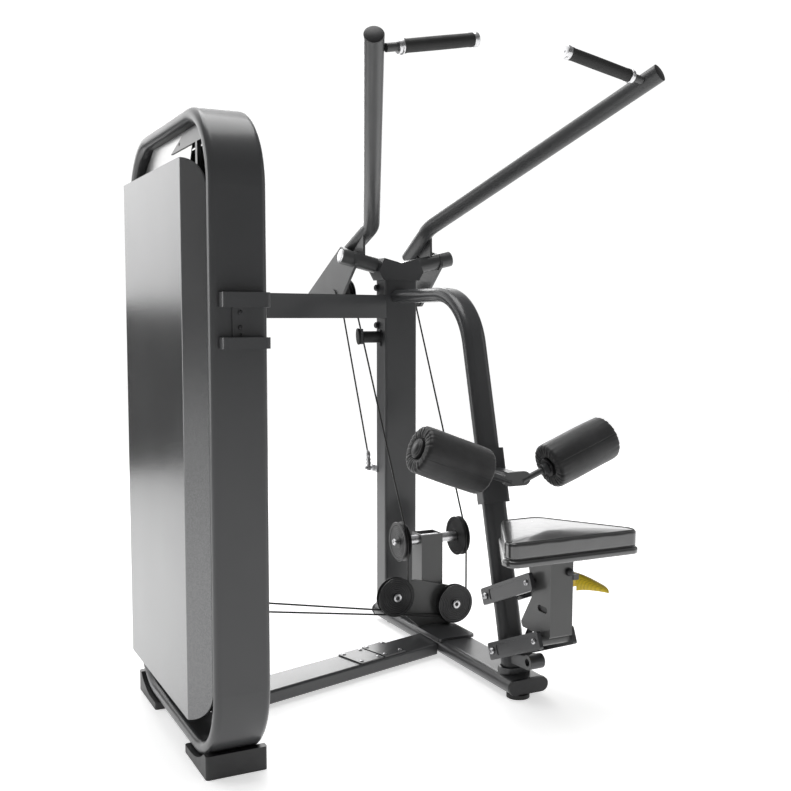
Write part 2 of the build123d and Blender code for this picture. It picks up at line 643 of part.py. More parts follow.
with BuildPart() as seat_post:
    # flat-oval tube from the front of the main post, bent down to the base tube
    foot_z = BASE_HIGH
    with BuildLine() as post_path:
        FilletPolyline(
            (0, -POST_Y / 2, SEAT_TUBE_Z),
            (0, SEAT_CORNER_Y, SEAT_TUBE_Z),
            (0, seat_tube_y(foot_z - 10), foot_z - 10),
            radius=SEAT_BEND,
        )
    with BuildSketch(Plane(origin=(0, -POST_Y / 2, SEAT_TUBE_Z), x_dir=(1, 0, 0), z_dir=(0, -1, 0))):
        SlotOverall(SEAT_TUBE_X, SEAT_TUBE_Y)
    sweep(path=post_path.line)
    with BuildSketch(Plane(origin=(0, -POST_Y / 2, SEAT_TUBE_Z), x_dir=(1, 0, 0), z_dir=(0, -1, 0))):
        SlotOverall(SEAT_TUBE_X - 2 * TUBE_WALL, SEAT_TUBE_Y - 2 * TUBE_WALL)
    sweep(path=post_path.line, mode=Mode.SUBTRACT)
    with BuildSketch(Plane.XY.offset(foot_z)):
        with Locations((0, seat_tube_y(foot_z))):
            Rectangle(200, 200)
    extrude(amount=-40, mode=Mode.SUBTRACT)
    # link pivot pins through the tube, and the lug on its lower front
    for pivot_y, pivot_z in (LINK_P1, LINK_P3):
        with BuildSketch(Plane(origin=(-LINK_X1 - 2, pivot_y, pivot_z), z_dir=(1, 0, 0))):
            Circle(8)
        extrude(amount=2 * LINK_X1 + 4)
        with BuildSketch(Plane(origin=(-LINK_X0 + 1, pivot_y, pivot_z), z_dir=(1, 0, 0))):
            Circle(15)
        extrude(amount=2 * LINK_X0 - 2)
    with BuildSketch(Plane.YZ.offset(-24)):
        with BuildLine():
            Polyline((-775, 88), (LUG[0] - 4, LUG[1] - 21), (LUG[0] - 4, LUG[1] + 20), (-775, 108), close=True)
        make_face()
        with Locations(LUG):
            Circle(21)
            Circle(11, mode=Mode.SUBTRACT)
    extrude(amount=48)
    # ear and pin for the foot of the gas spring
    with BuildSketch(Plane.YZ.offset(GAS_X - 15)):
        with Locations((GAS_FOOT[0] + 13, GAS_FOOT[1])):
            Rectangle(44, 20)
    extrude(amount=5)
    with BuildSketch(Plane(origin=(GAS_X - 12, GAS_FOOT[0], GAS_FOOT[1]), z_dir=(1, 0, 0))):
        Circle(4)
    extrude(amount=22)
save(seat_post, "seat_post")

# ---------------------------------------------------------------- pulley station in front of the main post
UPPER_GROOVE = UPPER_PULLEY_RADIUS - GROOVE_DEPTH
UPPER_Y = STATION_Y + UPPER_GROOVE + CABLE + 0.3
with BuildPart() as pulley_bracket:
    # box post that carries the cross axle, standing on a gusseted plate that carries the lower pulleys
    with BuildSketch(Plane.XY.offset(BASE_HIGH + 8)):
        with Locations((-4, -245)):
            Rectangle(80, 70)
    extrude(amount=UPPER_PULLEY_Z - BASE_HIGH + 12)
    with BuildSketch(Plane.XY.offset(BASE_HIGH)):
        with Locations((-4, -245)):
            Rectangle(72, 62)
    extrude(amount=UPPER_PULLEY_Z - BASE_HIGH + 30, mode=Mode.SUBTRACT)
    with BuildSketch(Plane(origin=(-60, UPPER_Y, UPPER_PULLEY_Z), z_dir=(1, 0, 0))):
        Circle(17)
    extrude(amount=120, mode=Mode.SUBTRACT)
    plate_y = 280.0
    with BuildSketch(Plane.XZ.offset(plate_y)):
        with BuildLine():
            FilletPolyline(
                (-150, 214),
                (-70, 226),
                (70, 190),
                (112, 168),
                (104, 96),
                (58, BASE_HIGH + 8),
                (-58, BASE_HIGH + 8),
                (-120, 118),
                (-188, 150),
                (-188, 200),
                radius=14,
                close=True,
            )
        make_face()
    extrude(amount=8)
    for pulley_x, pulley_z in (LOWER_LEFT, LOWER_RIGHT):
        with BuildSketch(Plane(origin=(pulley_x, -plate_y - 4, pulley_z), z_dir=(0, -1, 0))):
            Circle(8)
        extrude(amount=-STATION_Y - plate_y - 4 + 14)
        with BuildSketch(Plane(origin=(pulley_x, -plate_y - 4, pulley_z), z_dir=(0, -1, 0))):
            Circle(14)
        extrude(amount=-STATION_Y - plate_y - 4 - PULLEY_THICK / 2 - 0.5)
save(pulley_bracket, "pulley_bracket")

with BuildPart() as cross_axle:
    cross_plane = Plane(origin=(-STATION_X - 20, UPPER_Y, UPPER_PULLEY_Z), z_dir=(1, 0, 0))
    with BuildSketch(cross_plane):
        Circle(8)
    extrude(amount=2 * STATION_X + 40)
    with BuildSketch(Plane(origin=(-STATION_X + 13, UPPER_Y, UPPER_PULLEY_Z), z_dir=(1, 0, 0))):
        Circle(17)
    extrude(amount=2 * STATION_X - 26)
save(cross_axle, "cross_axle")

for name, side in (("left", -1), ("right", 1)):
    with BuildPart() as upper_pulley:
        centre = (side * STATION_X, UPPER_Y, UPPER_PULLEY_Z)
        add(pulley(centre, (1, 0, 0), UPPER_PULLEY_RADIUS, PULLEY_THICK, 8 + RUNNING, UPPER_GROOVE))
    save(upper_pulley, f"upper_pulley_{name}")

for name, (x, z) in (("left", LOWER_LEFT), ("right", LOWER_RIGHT)):
    with BuildPart() as lower_pulley:
        wheel_at = (x, STATION_Y, z)
        add(pulley(wheel_at, (0, 1, 0), LOWER_PULLEY_RADIUS, PULLEY_THICK, 8 + RUNNING, LOWER_GROOVE, 1.5))
    save(lower_pulley, f"lower_pulley_{name}")

# ---------------------------------------------------------------- arms
LEVER_AXLE = 8.0
LEVER_GROOVE = LEVER_PULLEY_RADIUS - GROOVE_DEPTH


def arm_weldment(side):
    """Pivot hub, bent arm tube, gusset, lever plate with its pulley axle, and the handle neck."""
    flip = (lambda p: p) if side > 0 else mirror_x
    with BuildPart() as arm:
        with BuildSketch(hub_plane(HUB_IN, side)):
            Circle(HUB_RADIUS)
        extrude(amount=HUB_OUT - HUB_IN)
        with BuildLine() as tube_path:
            FilletPolyline(flip(ARM_TOP), flip(ARM_BEND), flip(ARM_REAR), radius=ARM_BEND_RADIUS)
        with BuildSketch(line_plane(flip(ARM_TOP), flip(ARM_BEND))):
            Circle(ARM_RADIUS)
        sweep(path=tube_path.line)
        # gusset between the bend and the hub
        with BuildSketch(Plane.YZ.offset(side * 132 - 4)):
            with BuildLine():
                Polyline((-14, 1400), (-16, 1296), (34, 1296), (110, 1352), close=True)
            make_face()
        extrude(amount=8)
        # lever plate, running down and back from the hub
        with BuildSketch(Plane.YZ.offset(side * LEVER_X - 5)):
            with BuildLine():
                FilletPolyline(
                    (-26, 1322),
                    (96, 1352),
                    (412, 1192),
                    (404, 1150),
                    (LEVER_PULLEY[1] + 30, LEVER_PULLEY[2] - 34),
                    (LEVER_PULLEY[1] - 30, LEVER_PULLEY[2] - 34),
                    (-30, 1284),
                    radius=10,
                    close=True,
                )
            make_face()
        extrude(amount=10)
        # bridge from the lever plate to the rear end of the tube
        with BuildSketch(Plane.XY.offset(1318)):
            with Locations((side * 148, 112)):
                Rectangle(40, 50)
        extrude(amount=14)
        # raised boss and axle of the lever pulley
        boss_start = (side * (LEVER_X + 10), LEVER_PULLEY[1], LEVER_PULLEY[2])
        with BuildSketch(Plane(origin=boss_start, z_dir=(-side, 0, 0))):
            Circle(26)
        extrude(amount=10)
        with BuildSketch(Plane(origin=boss_start, z_dir=(-side, 0, 0))):
            Circle(LEVER_AXLE)
        extrude(amount=LEVER_X + 10 - LEVER_PULLEY[0] + PULLEY_THICK / 2 + 6)
        with BuildSketch(Plane(origin=boss_start, z_dir=(-side, 0, 0))):
            Circle(14)
        extrude(amount=LEVER_X + 10 - LEVER_PULLEY[0] - PULLEY_THICK / 2 - 0.5)
        # neck that carries the handle
        grip_in, grip_tip = Vector(*flip(GRIP_IN)), Vector(*flip(GRIP_TIP))
        along = (grip_tip - grip_in).normalized()
        neck = Plane(origin=grip_in, z_dir=along)
        with BuildSketch(neck):
            Circle(12)
        extrude(amount=(grip_tip - grip_in).length - 4)
        # hollow inside of the tube, closed by a cap at both ends
        top, bend, rear = Vector(*flip(ARM_TOP)), Vector(*flip(ARM_BEND)), Vector(*flip(ARM_REAR))
        inner_top = top + (bend - top).normalized() * 4
        inner_rear = rear + (bend - rear).normalized() * 4
        with BuildLine() as inner_path:
            FilletPolyline(inner_top, bend, inner_rear, radius=ARM_BEND_RADIUS)
        with BuildSketch(Plane(origin=inner_top, z_dir=bend - top)):
            Circle(ARM_RADIUS - TUBE_WALL)
        sweep(path=inner_path.line, mode=Mode.SUBTRACT)
        # bore for the pivot shaft, closed at its outer end
        with BuildSketch(hub_plane(HUB_IN - 5, side)):
            Circle(SHAFT_RADIUS + RUNNING)
        extrude(amount=HUB_OUT - 8 - HUB_IN + 5, mode=Mode.SUBTRACT)
    return arm


def handle_plane(side, along):
    flip = (lambda p: p) if side > 0 else mirror_x
    start, tip = Vector(*flip(GRIP_IN)), Vector(*flip(GRIP_TIP))
    direction = (tip - start).normalized()
    return Plane(origin=start + direction * along, z_dir=direction)


HANDLE_LONG = length(GRIP_IN, GRIP_TIP)
COLLAR_START, COLLAR_LONG = 34.0, 16.0
for name, side in (("left", -1), ("right", 1)):
    save(arm_weldment(side), f"{name}_arm")
    with BuildPart() as lever_pulley:
        centre = (side * LEVER_PULLEY[0], LEVER_PULLEY[1], LEVER_PULLEY[2])
        bore = LEVER_AXLE + RUNNING
        add(pulley(centre, (1, 0, 0), LEVER_PULLEY_RADIUS, PULLEY_THICK, bore, LEVER_GROOVE))
    save(lever_pulley, f"{name}_lever_pulley")
    with BuildPart() as grip:
        with BuildSketch(handle_plane(side, COLLAR_START + COLLAR_LONG)):
            Circle(GRIP_RADIUS)
            Circle(12, mode=Mode.SUBTRACT)
        extrude(amount=HANDLE_LONG - COLLAR_START - 2 * COLLAR_LONG)
    save(grip, f"{name}_grip")
    with BuildPart() as collars:
        with BuildSketch(handle_plane(side, COLLAR_START)):
            Circle(GRIP_RADIUS + 3)
            Circle(12, mode=Mode.SUBTRACT)
        extrude(amount=COLLAR_LONG)
        with BuildSketch(handle_plane(side, HANDLE_LONG - COLLAR_LONG)):
            Circle(GRIP_RADIUS + 2)
        extrude(amount=COLLAR_LONG)
        with BuildSketch(handle_plane(side, HANDLE_LONG - COLLAR_LONG)):
            Circle(12)
        extrude(amount=COLLAR_LONG - 4, mode=Mode.SUBTRACT)
    save(collars, f"{name}_grip_collars")

# ---------------------------------------------------------------- cables
LEVER_RUN_RADIUS = LEVER_GROOVE + CABLE + 0.3
LOWER_RUN_RADIUS = LOWER_GROOVE + CABLE + 0.3
REDIRECT_RUN_RADIUS = REDIRECT_GROOVE + CABLE + 0.3


def tangent(centre, radius, point, turn):
    """Tangent point on a circle, seen from an outside point, in any plane of two coordinates."""
    dx, dy = point[0] - centre[0], point[1] - centre[1]
    far = hypot(dx, dy)
    lean = atan2(dy, dx) + turn * atan2((far**2 - radius**2) ** 0.5, radius)
    return (centre[0] + radius * cos(lean), centre[1] + radius * sin(lean))


def cable_run(start, end):
    with BuildPart(mode=Mode.PRIVATE) as run:
        with BuildSketch(line_plane(start, end)):
            Circle(CABLE)
        extrude(amount=length(start, end))
    return run.part


lever_centre = (LEVER_PULLEY[1], LEVER_PULLEY[2])
ANCHOR_TOP = (ANCHOR[1] + 6, ANCHOR[2] + 46)
rear_touch = tangent(lever_centre, LEVER_RUN_RADIUS, ANCHOR_TOP, 1)
UPPER_RUN_RADIUS = UPPER_GROOVE + CABLE + 0.3
upper_centre = (UPPER_Y, UPPER_PULLEY_Z)
front_top = tangent(lever_centre, LEVER_RUN_RADIUS, (STATION_Y, UPPER_PULLEY_Z + 20), -1)
front_low = tangent(upper_centre, UPPER_RUN_RADIUS, front_top, 1)

for name, side in (("left", -1), ("right", 1)):
    anchor_end = (side * (-ANCHOR[0] + 4), ANCHOR_TOP[0], ANCHOR_TOP[1])
    rear_end = (side * LEVER_PULLEY[0], rear_touch[0], rear_touch[1])
    with BuildPart() as anchor_run:
        add(cable_run(anchor_end, rear_end))
    save(anchor_run, f"{name}_anchor_run")
    upper_end = (side * STATION_X, front_low[0], front_low[1])
    front_end = (side * LEVER_PULLEY[0], front_top[0], front_top[1])
    with BuildPart() as pulley_run:
        add(cable_run(upper_end, front_end))
    save(pulley_run, f"{name}_pulley_run")


def shared_tangent(first, first_radius, second, second_radius):
    """Touch points of the line that passes under two circles."""
    dx, dz = second[0] - first[0], second[1] - first[1]
    lean = atan2(dz, dx) - acos((second_radius - first_radius) / hypot(dx, dz))
    ux, uz = cos(lean), sin(lean)
    touch_first = (first[0] - first_radius * ux, first[1] - first_radius * uz)
    touch_second = (second[0] - second_radius * ux, second[1] - second_radius * uz)
    return touch_first, touch_second


HEAD_TOP = HEAD_LOW + PLATE_Z + 30
with BuildPart() as fixed_cables:
    # drops to the lower pulleys, the runs to the tower, and the runs up and over inside it
    for name, side, lower in (("left", -1, LOWER_LEFT), ("right", 1, LOWER_RIGHT)):
        drop_x = side * STATION_X
        drop_y = UPPER_Y - UPPER_RUN_RADIUS
        add(cable_run((drop_x, drop_y, UPPER_PULLEY_Z - 4), (drop_x, drop_y, lower[1] + 4)))
        x, y, z = REDIRECT[name]
        leave, arrive = shared_tangent(lower, LOWER_RUN_RADIUS, (x, z), REDIRECT_RUN_RADIUS)
        add(cable_run((leave[0], STATION_Y, leave[1]), (arrive[0], y, arrive[1])))
        strand_x = x - REDIRECT_RUN_RADIUS
        strand_y = REAR_AXLE_Y + TOP_GROOVE
        add(cable_run((strand_x, y, z + 4), (strand_x, strand_y, TOP_AXLE_Z - 4)))
        over_z = TOP_AXLE_Z + TOP_GROOVE
        add(cable_run((strand_x, REAR_AXLE_Y - 2, over_z), (strand_x, STACK_AXLE_Y + 2, over_z)))
save(fixed_cables, "fixed_cables")

with BuildPart() as stack_cables:
    for redirect in REDIRECT.values():
        strand_x = redirect[0] - REDIRECT_RUN_RADIUS
        add(cable_run((strand_x, TOWER_MID_Y, HEAD_TOP + 1), (strand_x, TOWER_MID_Y, TOP_AXLE_Z - 4)))
save(stack_cables, "stack_cables")

with BuildPart() as cable_anchors:
    # lug on each side of the post, with the steel fork and adjuster that end the cable
    for side in (-1, 1):
        with BuildSketch(Plane.YZ.offset(side * (POST_X / 2 + 1))):
            with Locations((ANCHOR[1] - 18, ANCHOR[2])):
                Rectangle(44, 24)
        extrude(amount=side * 5)
        with BuildSketch(Plane(origin=(side * (POST_X / 2 + 1), ANCHOR[1], ANCHOR[2]), z_dir=(side, 0, 0))):
            Circle(6)
        extrude(amount=32)
        low = (side * (-ANCHOR[0] + 4), ANCHOR[1], ANCHOR[2] - 10)
        high = (side * (-ANCHOR[0] + 4), ANCHOR_TOP[0], ANCHOR_TOP[1] - 1)
        with BuildSketch(line_plane(low, high)):
            Circle(7.5)
        extrude(amount=length(low, high))
save(cable_anchors, "cable_anchors")

# ---------------------------------------------------------------- thigh rollers
roller_tilt = radians(ROLLER_TILT)


def roller_plane(along, side):
    direction = (side * cos(roller_tilt), 0, sin(roller_tilt))
    start = Vector(0, ROLLER_Y, ROLLER_Z0) + Vector(*direction) * (along / cos(roller_tilt))
    return Plane(origin=start, z_dir=direction)


COLLAR_LOW, COLLAR_HIGH = 540.0, 700.0
with BuildPart() as thigh_bracket:
    # collar clamped round the seat tube, a tab with a rounded head, and the two roller rods
    collar_mid = (COLLAR_LOW + COLLAR_HIGH) / 2
    lean_dir = (0, sin(radians(SEAT_LEAN)), cos(radians(SEAT_LEAN)))
    collar_plane = Plane(origin=(0, seat_tube_y(COLLAR_LOW), COLLAR_LOW), x_dir=(1, 0, 0), z_dir=lean_dir)
    with BuildSketch(collar_plane):
        RectangleRounded(SEAT_TUBE_X + 14, SEAT_TUBE_Y + 14, 16)
        SlotOverall(SEAT_TUBE_X + 0.6, SEAT_TUBE_Y + 0.6, mode=Mode.SUBTRACT)
    extrude(amount=(COLLAR_HIGH - COLLAR_LOW) / cos(radians(SEAT_LEAN)))
    with BuildSketch(Plane.XZ.offset(-seat_tube_y(630) + SEAT_TUBE_Y / 2 + 4)):
        with Locations((0, 634)):
            RectangleRounded(44, 30, 6)
    extrude(amount=-ROLLER_Y + seat_tube_y(630) - SEAT_TUBE_Y / 2 - 4)
    with BuildSketch(Plane.XZ.offset(-ROLLER_Y - 8)):
        with Locations((0, 632)):
            SlotOverall(92, 42)
    extrude(amount=16)
    for side in (-1, 1):
        with BuildSketch(roller_plane(20, side)):
            Circle(10)
        extrude(amount=(ROLLER_OUT + 4 - 20) / cos(roller_tilt))
        with BuildSketch(roller_plane(ROLLER_IN - 22, side)):
            Circle(17)
        extrude(amount=20 / cos(roller_tilt))
save(thigh_bracket, "thigh_bracket")

for name, side in (("left", -1), ("right", 1)):
    with BuildPart() as roller:
        with BuildSketch(roller_plane(ROLLER_IN, side)):
            Circle(ROLLER_RADIUS)
        extrude(amount=(ROLLER_OUT - ROLLER_IN) / cos(roller_tilt))
        rims = roller.faces().filter_by(GeomType.PLANE).edges()
        fillet(rims, 12)
        with BuildSketch(roller_plane(ROLLER_IN - 4, side)):
            Circle(10 + RUNNING)
        extrude(amount=(ROLLER_OUT - ROLLER_IN) / cos(roller_tilt) + 20, mode=Mode.SUBTRACT)
    save(roller, f"{name}_roller")

# ---------------------------------------------------------------- adjustable seat
LINK_P2 = (LINK_P1[0] + LINK_REACH[0], LINK_P1[1] + LINK_REACH[1])
LINK_P4 = (LINK_P3[0] + LINK_REACH[0], LINK_P3[1] + LINK_REACH[1])
LINK_ANGLE = degrees(atan2(LINK_REACH[1], LINK_REACH[0]))
LINK_LONG = hypot(*LINK_REACH)


def link_pair(near, far, label, far_tube):
    """Two link plates with recessed outer faces, with a far pivot tube or bores for one."""
    with BuildPart() as link:
        for side in (-1, 1):
            base = Plane.YZ.offset(side * LINK_X0)
            mid_y, mid_z = (near[0] + far[0]) / 2, (near[1] + far[1]) / 2
            with BuildSketch(base):
                with Locations(Location((mid_y, mid_z), LINK_ANGLE)):
                    RectangleRounded(LINK_LONG + LINK_WIDE - 4, LINK_WIDE, 7)
                with Locations(near):
                    Circle(8 + RUNNING, mode=Mode.SUBTRACT)
                if not far_tube:
                    with Locations(far):
                        Circle(8 + RUNNING, mode=Mode.SUBTRACT)
            extrude(amount=side * (LINK_X1 - LINK_X0))
            with BuildSketch(Plane.YZ.offset(side * (LINK_X1 - 2))):
                with Locations(Location((mid_y, mid_z), LINK_ANGLE)):
                    RectangleRounded(LINK_LONG - 44, LINK_WIDE - 20, 5)
            extrude(amount=side * 4, mode=Mode.SUBTRACT)
        if far_tube:
            with BuildSketch(Plane(origin=(-LINK_X0 - 2, far[0], far[1]), z_dir=(1, 0, 0))):
                Circle(9)
            extrude(amount=2 * LINK_X0 + 4)
    save(link, label)


link_pair(LINK_P1, LINK_P2, "upper_links", True)
link_pair(LINK_P3, LINK_P4, "lower_links", False)

CARRIAGE_HALF = 37.0
LEVER_X0, LEVER_Y, LEVER_Z = 46.0, -1002.0, 388.0
with BuildPart() as seat_carriage:
    # folded box under the seat, open towards the seat tube, with bores for the upper link pivot
    with BuildSketch(Plane.YZ.offset(-CARRIAGE_HALF)):
        with BuildLine():
            Polyline(
                (-1020, 450),
                (-903, 450),
                (-927, 319),
                (-874, 236),
                (-882, 222),
                (-1017, 222),
                close=True,
            )
        make_face()
    extrude(amount=2 * CARRIAGE_HALF)
    fillet(seat_carriage.edges().filter_by(Axis.X), 7)
    with BuildSketch(Plane.YZ.offset(-CARRIAGE_HALF + 4)):
        with BuildLine():
            Polyline(
                (-1016, 446),
                (-840, 446),
                (-840, 200),
                (-955, 200),
                (-955, 226),
                (-1013, 226),
                close=True,
            )
        make_face()
    extrude(amount=2 * CARRIAGE_HALF - 8, mode=Mode.SUBTRACT)
    with BuildSketch(Plane(origin=(-60, LINK_P2[0], LINK_P2[1]), z_dir=(1, 0, 0))):
        Circle(9 + RUNNING)
    extrude(amount=120, mode=Mode.SUBTRACT)
    # cross tube under the box, whose end pins carry the far ends of the lower links
    for reach, radius in ((LINK_X0 - 0.5, 16), (LINK_X1 + 1, 8)):
        with BuildSketch(Plane(origin=(-reach, LINK_P4[0], LINK_P4[1]), z_dir=(1, 0, 0))):
            Circle(radius)
        extrude(amount=2 * reach)
    with BuildSketch(Plane.YZ.offset(-CARRIAGE_HALF - 1)):
        with Locations((-980, 297)):
            SlotOverall(46, 18)
    extrude(amount=8, mode=Mode.SUBTRACT)
    # ears and pin of the height lever on the right side
    for ear_y in (LEVER_Y - 20, LEVER_Y + 15):
        with BuildSketch(Plane(origin=(CARRIAGE_HALF, ear_y, LEVER_Z), x_dir=(1, 0, 0), z_dir=(0, 1, 0))):
            with Locations((8, 0)):
                Rectangle(18, 16)
        extrude(amount=5)
    with BuildSketch(Plane(origin=(LEVER_X0, LEVER_Y - 20, LEVER_Z), z_dir=(0, 1, 0))):
        Circle(3)
    extrude(amount=40)
    # mounting flange under the seat board
    with BuildSketch(Plane.XY.offset(446)):
        with Locations((0, -972)):
            RectangleRounded(120, 150, 10)
    extrude(amount=5)
save(seat_carriage, "seat_carriage")


def seat_outline(grow, round_back, round_nose):
    """Seat outline: wide straight back edge, sides drawn in to a narrow rounded nose."""
    with BuildSketch(mode=Mode.PRIVATE) as outline:
        with BuildLine():
            Polyline(
                (-SEAT_HALF - grow, SEAT_BACK_Y - grow),
                (SEAT_HALF + grow, SEAT_BACK_Y - grow),
                (SEAT_HALF + grow, SEAT_BACK_Y + 40),
                (SEAT_NOSE_HALF + grow, SEAT_NOSE_Y + grow),
                (-SEAT_NOSE_HALF - grow, SEAT_NOSE_Y + grow),
                (-SEAT_HALF - grow, SEAT_BACK_Y + 40),
                close=True,
            )
        make_face()
        fillet(outline.vertices().group_by(Axis.Y)[0], round_back)
        fillet(outline.vertices().group_by(Axis.Y)[-1], round_nose)
    return outline.sketch


with BuildPart() as seat_board:
    with BuildSketch(Plane.XY.offset(451)):
        add(seat_outline(-4, 22, 40))
    extrude(amount=11)
save(seat_board, "seat_board")

with BuildPart() as seat_cushion:
    with BuildSketch(Plane.XY.offset(SEAT_LOW)):
        add(seat_outline(0, 24, 42))
    extrude(amount=SEAT_TOP - SEAT_LOW)
    fillet(seat_cushion.faces().sort_by(Axis.Z)[-1].edges(), 9)
save(seat_cushion, "seat_cushion")

GAS_BODY, GAS_ROD = 152.0, 155.0
gas_long = hypot(LINK_P2[0] - GAS_FOOT[0], LINK_P2[1] - GAS_FOOT[1])
gas_axis = Vector(0, LINK_P2[0] - GAS_FOOT[0], LINK_P2[1] - GAS_FOOT[1]).normalized()
with BuildPart() as gas_spring_body:
    # cylinder with an eye on the foot pin and a bore for the rod
    with BuildSketch(Plane(origin=(GAS_X - 7, GAS_FOOT[0], GAS_FOOT[1]), z_dir=(1, 0, 0))):
        Circle(9)
    extrude(amount=14)
    with BuildSketch(Plane(origin=(GAS_X, GAS_FOOT[0], GAS_FOOT[1]), z_dir=gas_axis)):
        Circle(9)
    extrude(amount=GAS_BODY)
    with BuildSketch(Plane(origin=(GAS_X - 12, GAS_FOOT[0], GAS_FOOT[1]), z_dir=(1, 0, 0))):
        Circle(4 + RUNNING)
    extrude(amount=24, mode=Mode.SUBTRACT)
    with BuildSketch(Plane(origin=Vector(GAS_X, *GAS_FOOT) + gas_axis * 14, z_dir=gas_axis)):
        Circle(4 + RUNNING)
    extrude(amount=gas_long, mode=Mode.SUBTRACT)
save(gas_spring_body, "gas_spring_body")

with BuildPart() as gas_spring_rod:
    # rod with an open eye round the far cross tube of the upper links
    with BuildSketch(Plane(origin=Vector(GAS_X, *GAS_FOOT) + gas_axis * (gas_long - GAS_ROD), z_dir=gas_axis)):
        Circle(4)
    extrude(amount=GAS_ROD - 15.5)
    with BuildSketch(Plane(origin=(GAS_X - 4, LINK_P2[0], LINK_P2[1]), z_dir=(1, 0, 0))):
        Circle(19)
        Circle(15, mode=Mode.SUBTRACT)
    extrude(amount=8)
save(gas_spring_rod, "gas_spring_rod")

with BuildPart() as height_lever:
    # folded strip lever with a long hole, hinged on its pin at the side of the carriage
    with BuildSketch(Plane(origin=(0, LEVER_Y + 14, 0), x_dir=(1, 0, 0), z_dir=(0, -1, 0))):
        with BuildLine():
            FilletPolyline(
                (LEVER_X0 + 1, LEVER_Z + 4),
                (LEVER_X0 + 16, LEVER_Z + 5),
                (LEVER_X0 + 30, LEVER_Z - 12),
                (LEVER_X0 + 94, LEVER_Z - 44),
                radius=5,
            )
            offset(amount=2.5)
        make_face()
        with Locations((LEVER_X0, LEVER_Z)):
            Circle(7)
    extrude(amount=28)
    with BuildSketch(Plane.XY.offset(LEVER_Z - 60)):
        with Locations((LEVER_X0 + 62, LEVER_Y)):
            SlotOverall(42, 12)
    extrude(amount=60, mode=Mode.SUBTRACT)
    with BuildSketch(Plane(origin=(LEVER_X0, LEVER_Y - 20, LEVER_Z), z_dir=(0, 1, 0))):
        Circle(3 + RUNNING)
    extrude(amount=40, mode=Mode.SUBTRACT)
save(height_lever, "height_lever")

# ---------------------------------------------------------------- bolts of the frame
with BuildPart() as frame_bolts:
    bolt_spots = [
        (-POST_X / 2 - 0.2, 22, 1206, -1, 0),
        (-POST_X / 2 - 0.2, 22, 1074, -1, 0),
    ]
    for x, y, z, nx, ny in bolt_spots:
        with BuildSketch(Plane(origin=(x, y, z), z_dir=(nx, ny, 0))):
            RegularPolygon(11, 6)
        extrude(amount=12)
    for pulley_x, pulley_z in (LOWER_LEFT, LOWER_RIGHT):
        with BuildSketch(Plane(origin=(pulley_x, STATION_Y - 14.2, pulley_z), z_dir=(0, -1, 0))):
            RegularPolygon(12, 6)
        extrude(amount=8)
    for side in (-1, 1):
        for pivot_y, pivot_z in (LINK_P1, LINK_P3):
            with BuildSketch(Plane(origin=(side * (LINK_X1 + 2), pivot_y, pivot_z), z_dir=(side, 0, 0))):
                Circle(11)
            extrude(amount=4)
save(frame_bolts, "frame_bolts")
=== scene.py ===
import bmesh
import bpy
import json
import math
from mathutils import Matrix, Quaternion, Vector


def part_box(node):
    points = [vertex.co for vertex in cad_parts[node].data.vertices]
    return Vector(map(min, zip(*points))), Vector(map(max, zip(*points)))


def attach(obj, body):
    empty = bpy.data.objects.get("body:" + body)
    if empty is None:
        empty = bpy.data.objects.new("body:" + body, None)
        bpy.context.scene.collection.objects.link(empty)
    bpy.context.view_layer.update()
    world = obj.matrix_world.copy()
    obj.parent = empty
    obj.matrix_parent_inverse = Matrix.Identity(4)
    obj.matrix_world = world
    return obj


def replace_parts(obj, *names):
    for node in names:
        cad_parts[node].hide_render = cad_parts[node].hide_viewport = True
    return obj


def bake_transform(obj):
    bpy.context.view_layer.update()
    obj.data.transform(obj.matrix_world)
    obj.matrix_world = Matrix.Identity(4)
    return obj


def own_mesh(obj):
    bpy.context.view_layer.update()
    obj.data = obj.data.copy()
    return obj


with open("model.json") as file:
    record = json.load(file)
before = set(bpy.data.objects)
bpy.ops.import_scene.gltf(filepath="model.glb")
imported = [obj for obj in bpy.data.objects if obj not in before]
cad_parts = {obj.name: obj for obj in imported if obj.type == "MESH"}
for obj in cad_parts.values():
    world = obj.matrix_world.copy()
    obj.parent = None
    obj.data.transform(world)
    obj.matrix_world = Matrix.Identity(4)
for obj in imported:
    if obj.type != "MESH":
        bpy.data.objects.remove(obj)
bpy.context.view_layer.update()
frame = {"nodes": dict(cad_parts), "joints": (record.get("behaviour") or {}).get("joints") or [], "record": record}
SCENE = bpy.context.scene
JOINTS = {joint["name"]: joint for joint in frame["joints"]}
X_AXIS, Y_AXIS, Z_AXIS = (1, 0, 0), (0, 1, 0), (0, 0, 1)
DOWN_Y = (0, -1, 0)
SIDES = (("left", -1), ("right", 1))


# ------------------------------------------------------------------ materials
def material(name):
    mat = bpy.data.materials.new(name)
    mat.use_nodes = True
    nodes, links = mat.node_tree.nodes, mat.node_tree.links
    return mat, nodes, links, nodes["Principled BSDF"]


def node(nodes, kind, **values):
    """New shader node, with each value set on the input of that name or else on the node itself."""
    made = nodes.new(kind)
    for key, value in values.items():
        if key in made.inputs:
            made.inputs[key].default_value = value
        else:
            setattr(made, key, value)
    return made


def ramp(nodes, low, high, start=0.0, end=1.0):
    made = nodes.new("ShaderNodeValToRGB")
    made.color_ramp.elements[0].position = start
    made.color_ramp.elements[0].color = (*low, 1)
    made.color_ramp.elements[1].position = end
    made.color_ramp.elements[1].color = (*high, 1)
    return made


def coords(nodes, links, scale=(1, 1, 1)):
    place = nodes.new("ShaderNodeTexCoord")
    mapping = nodes.new("ShaderNodeMapping")
    mapping.inputs["Scale"].default_value = scale
    links.new(place.outputs["Object"], mapping.inputs["Vector"])
    return mapping.outputs["Vector"]


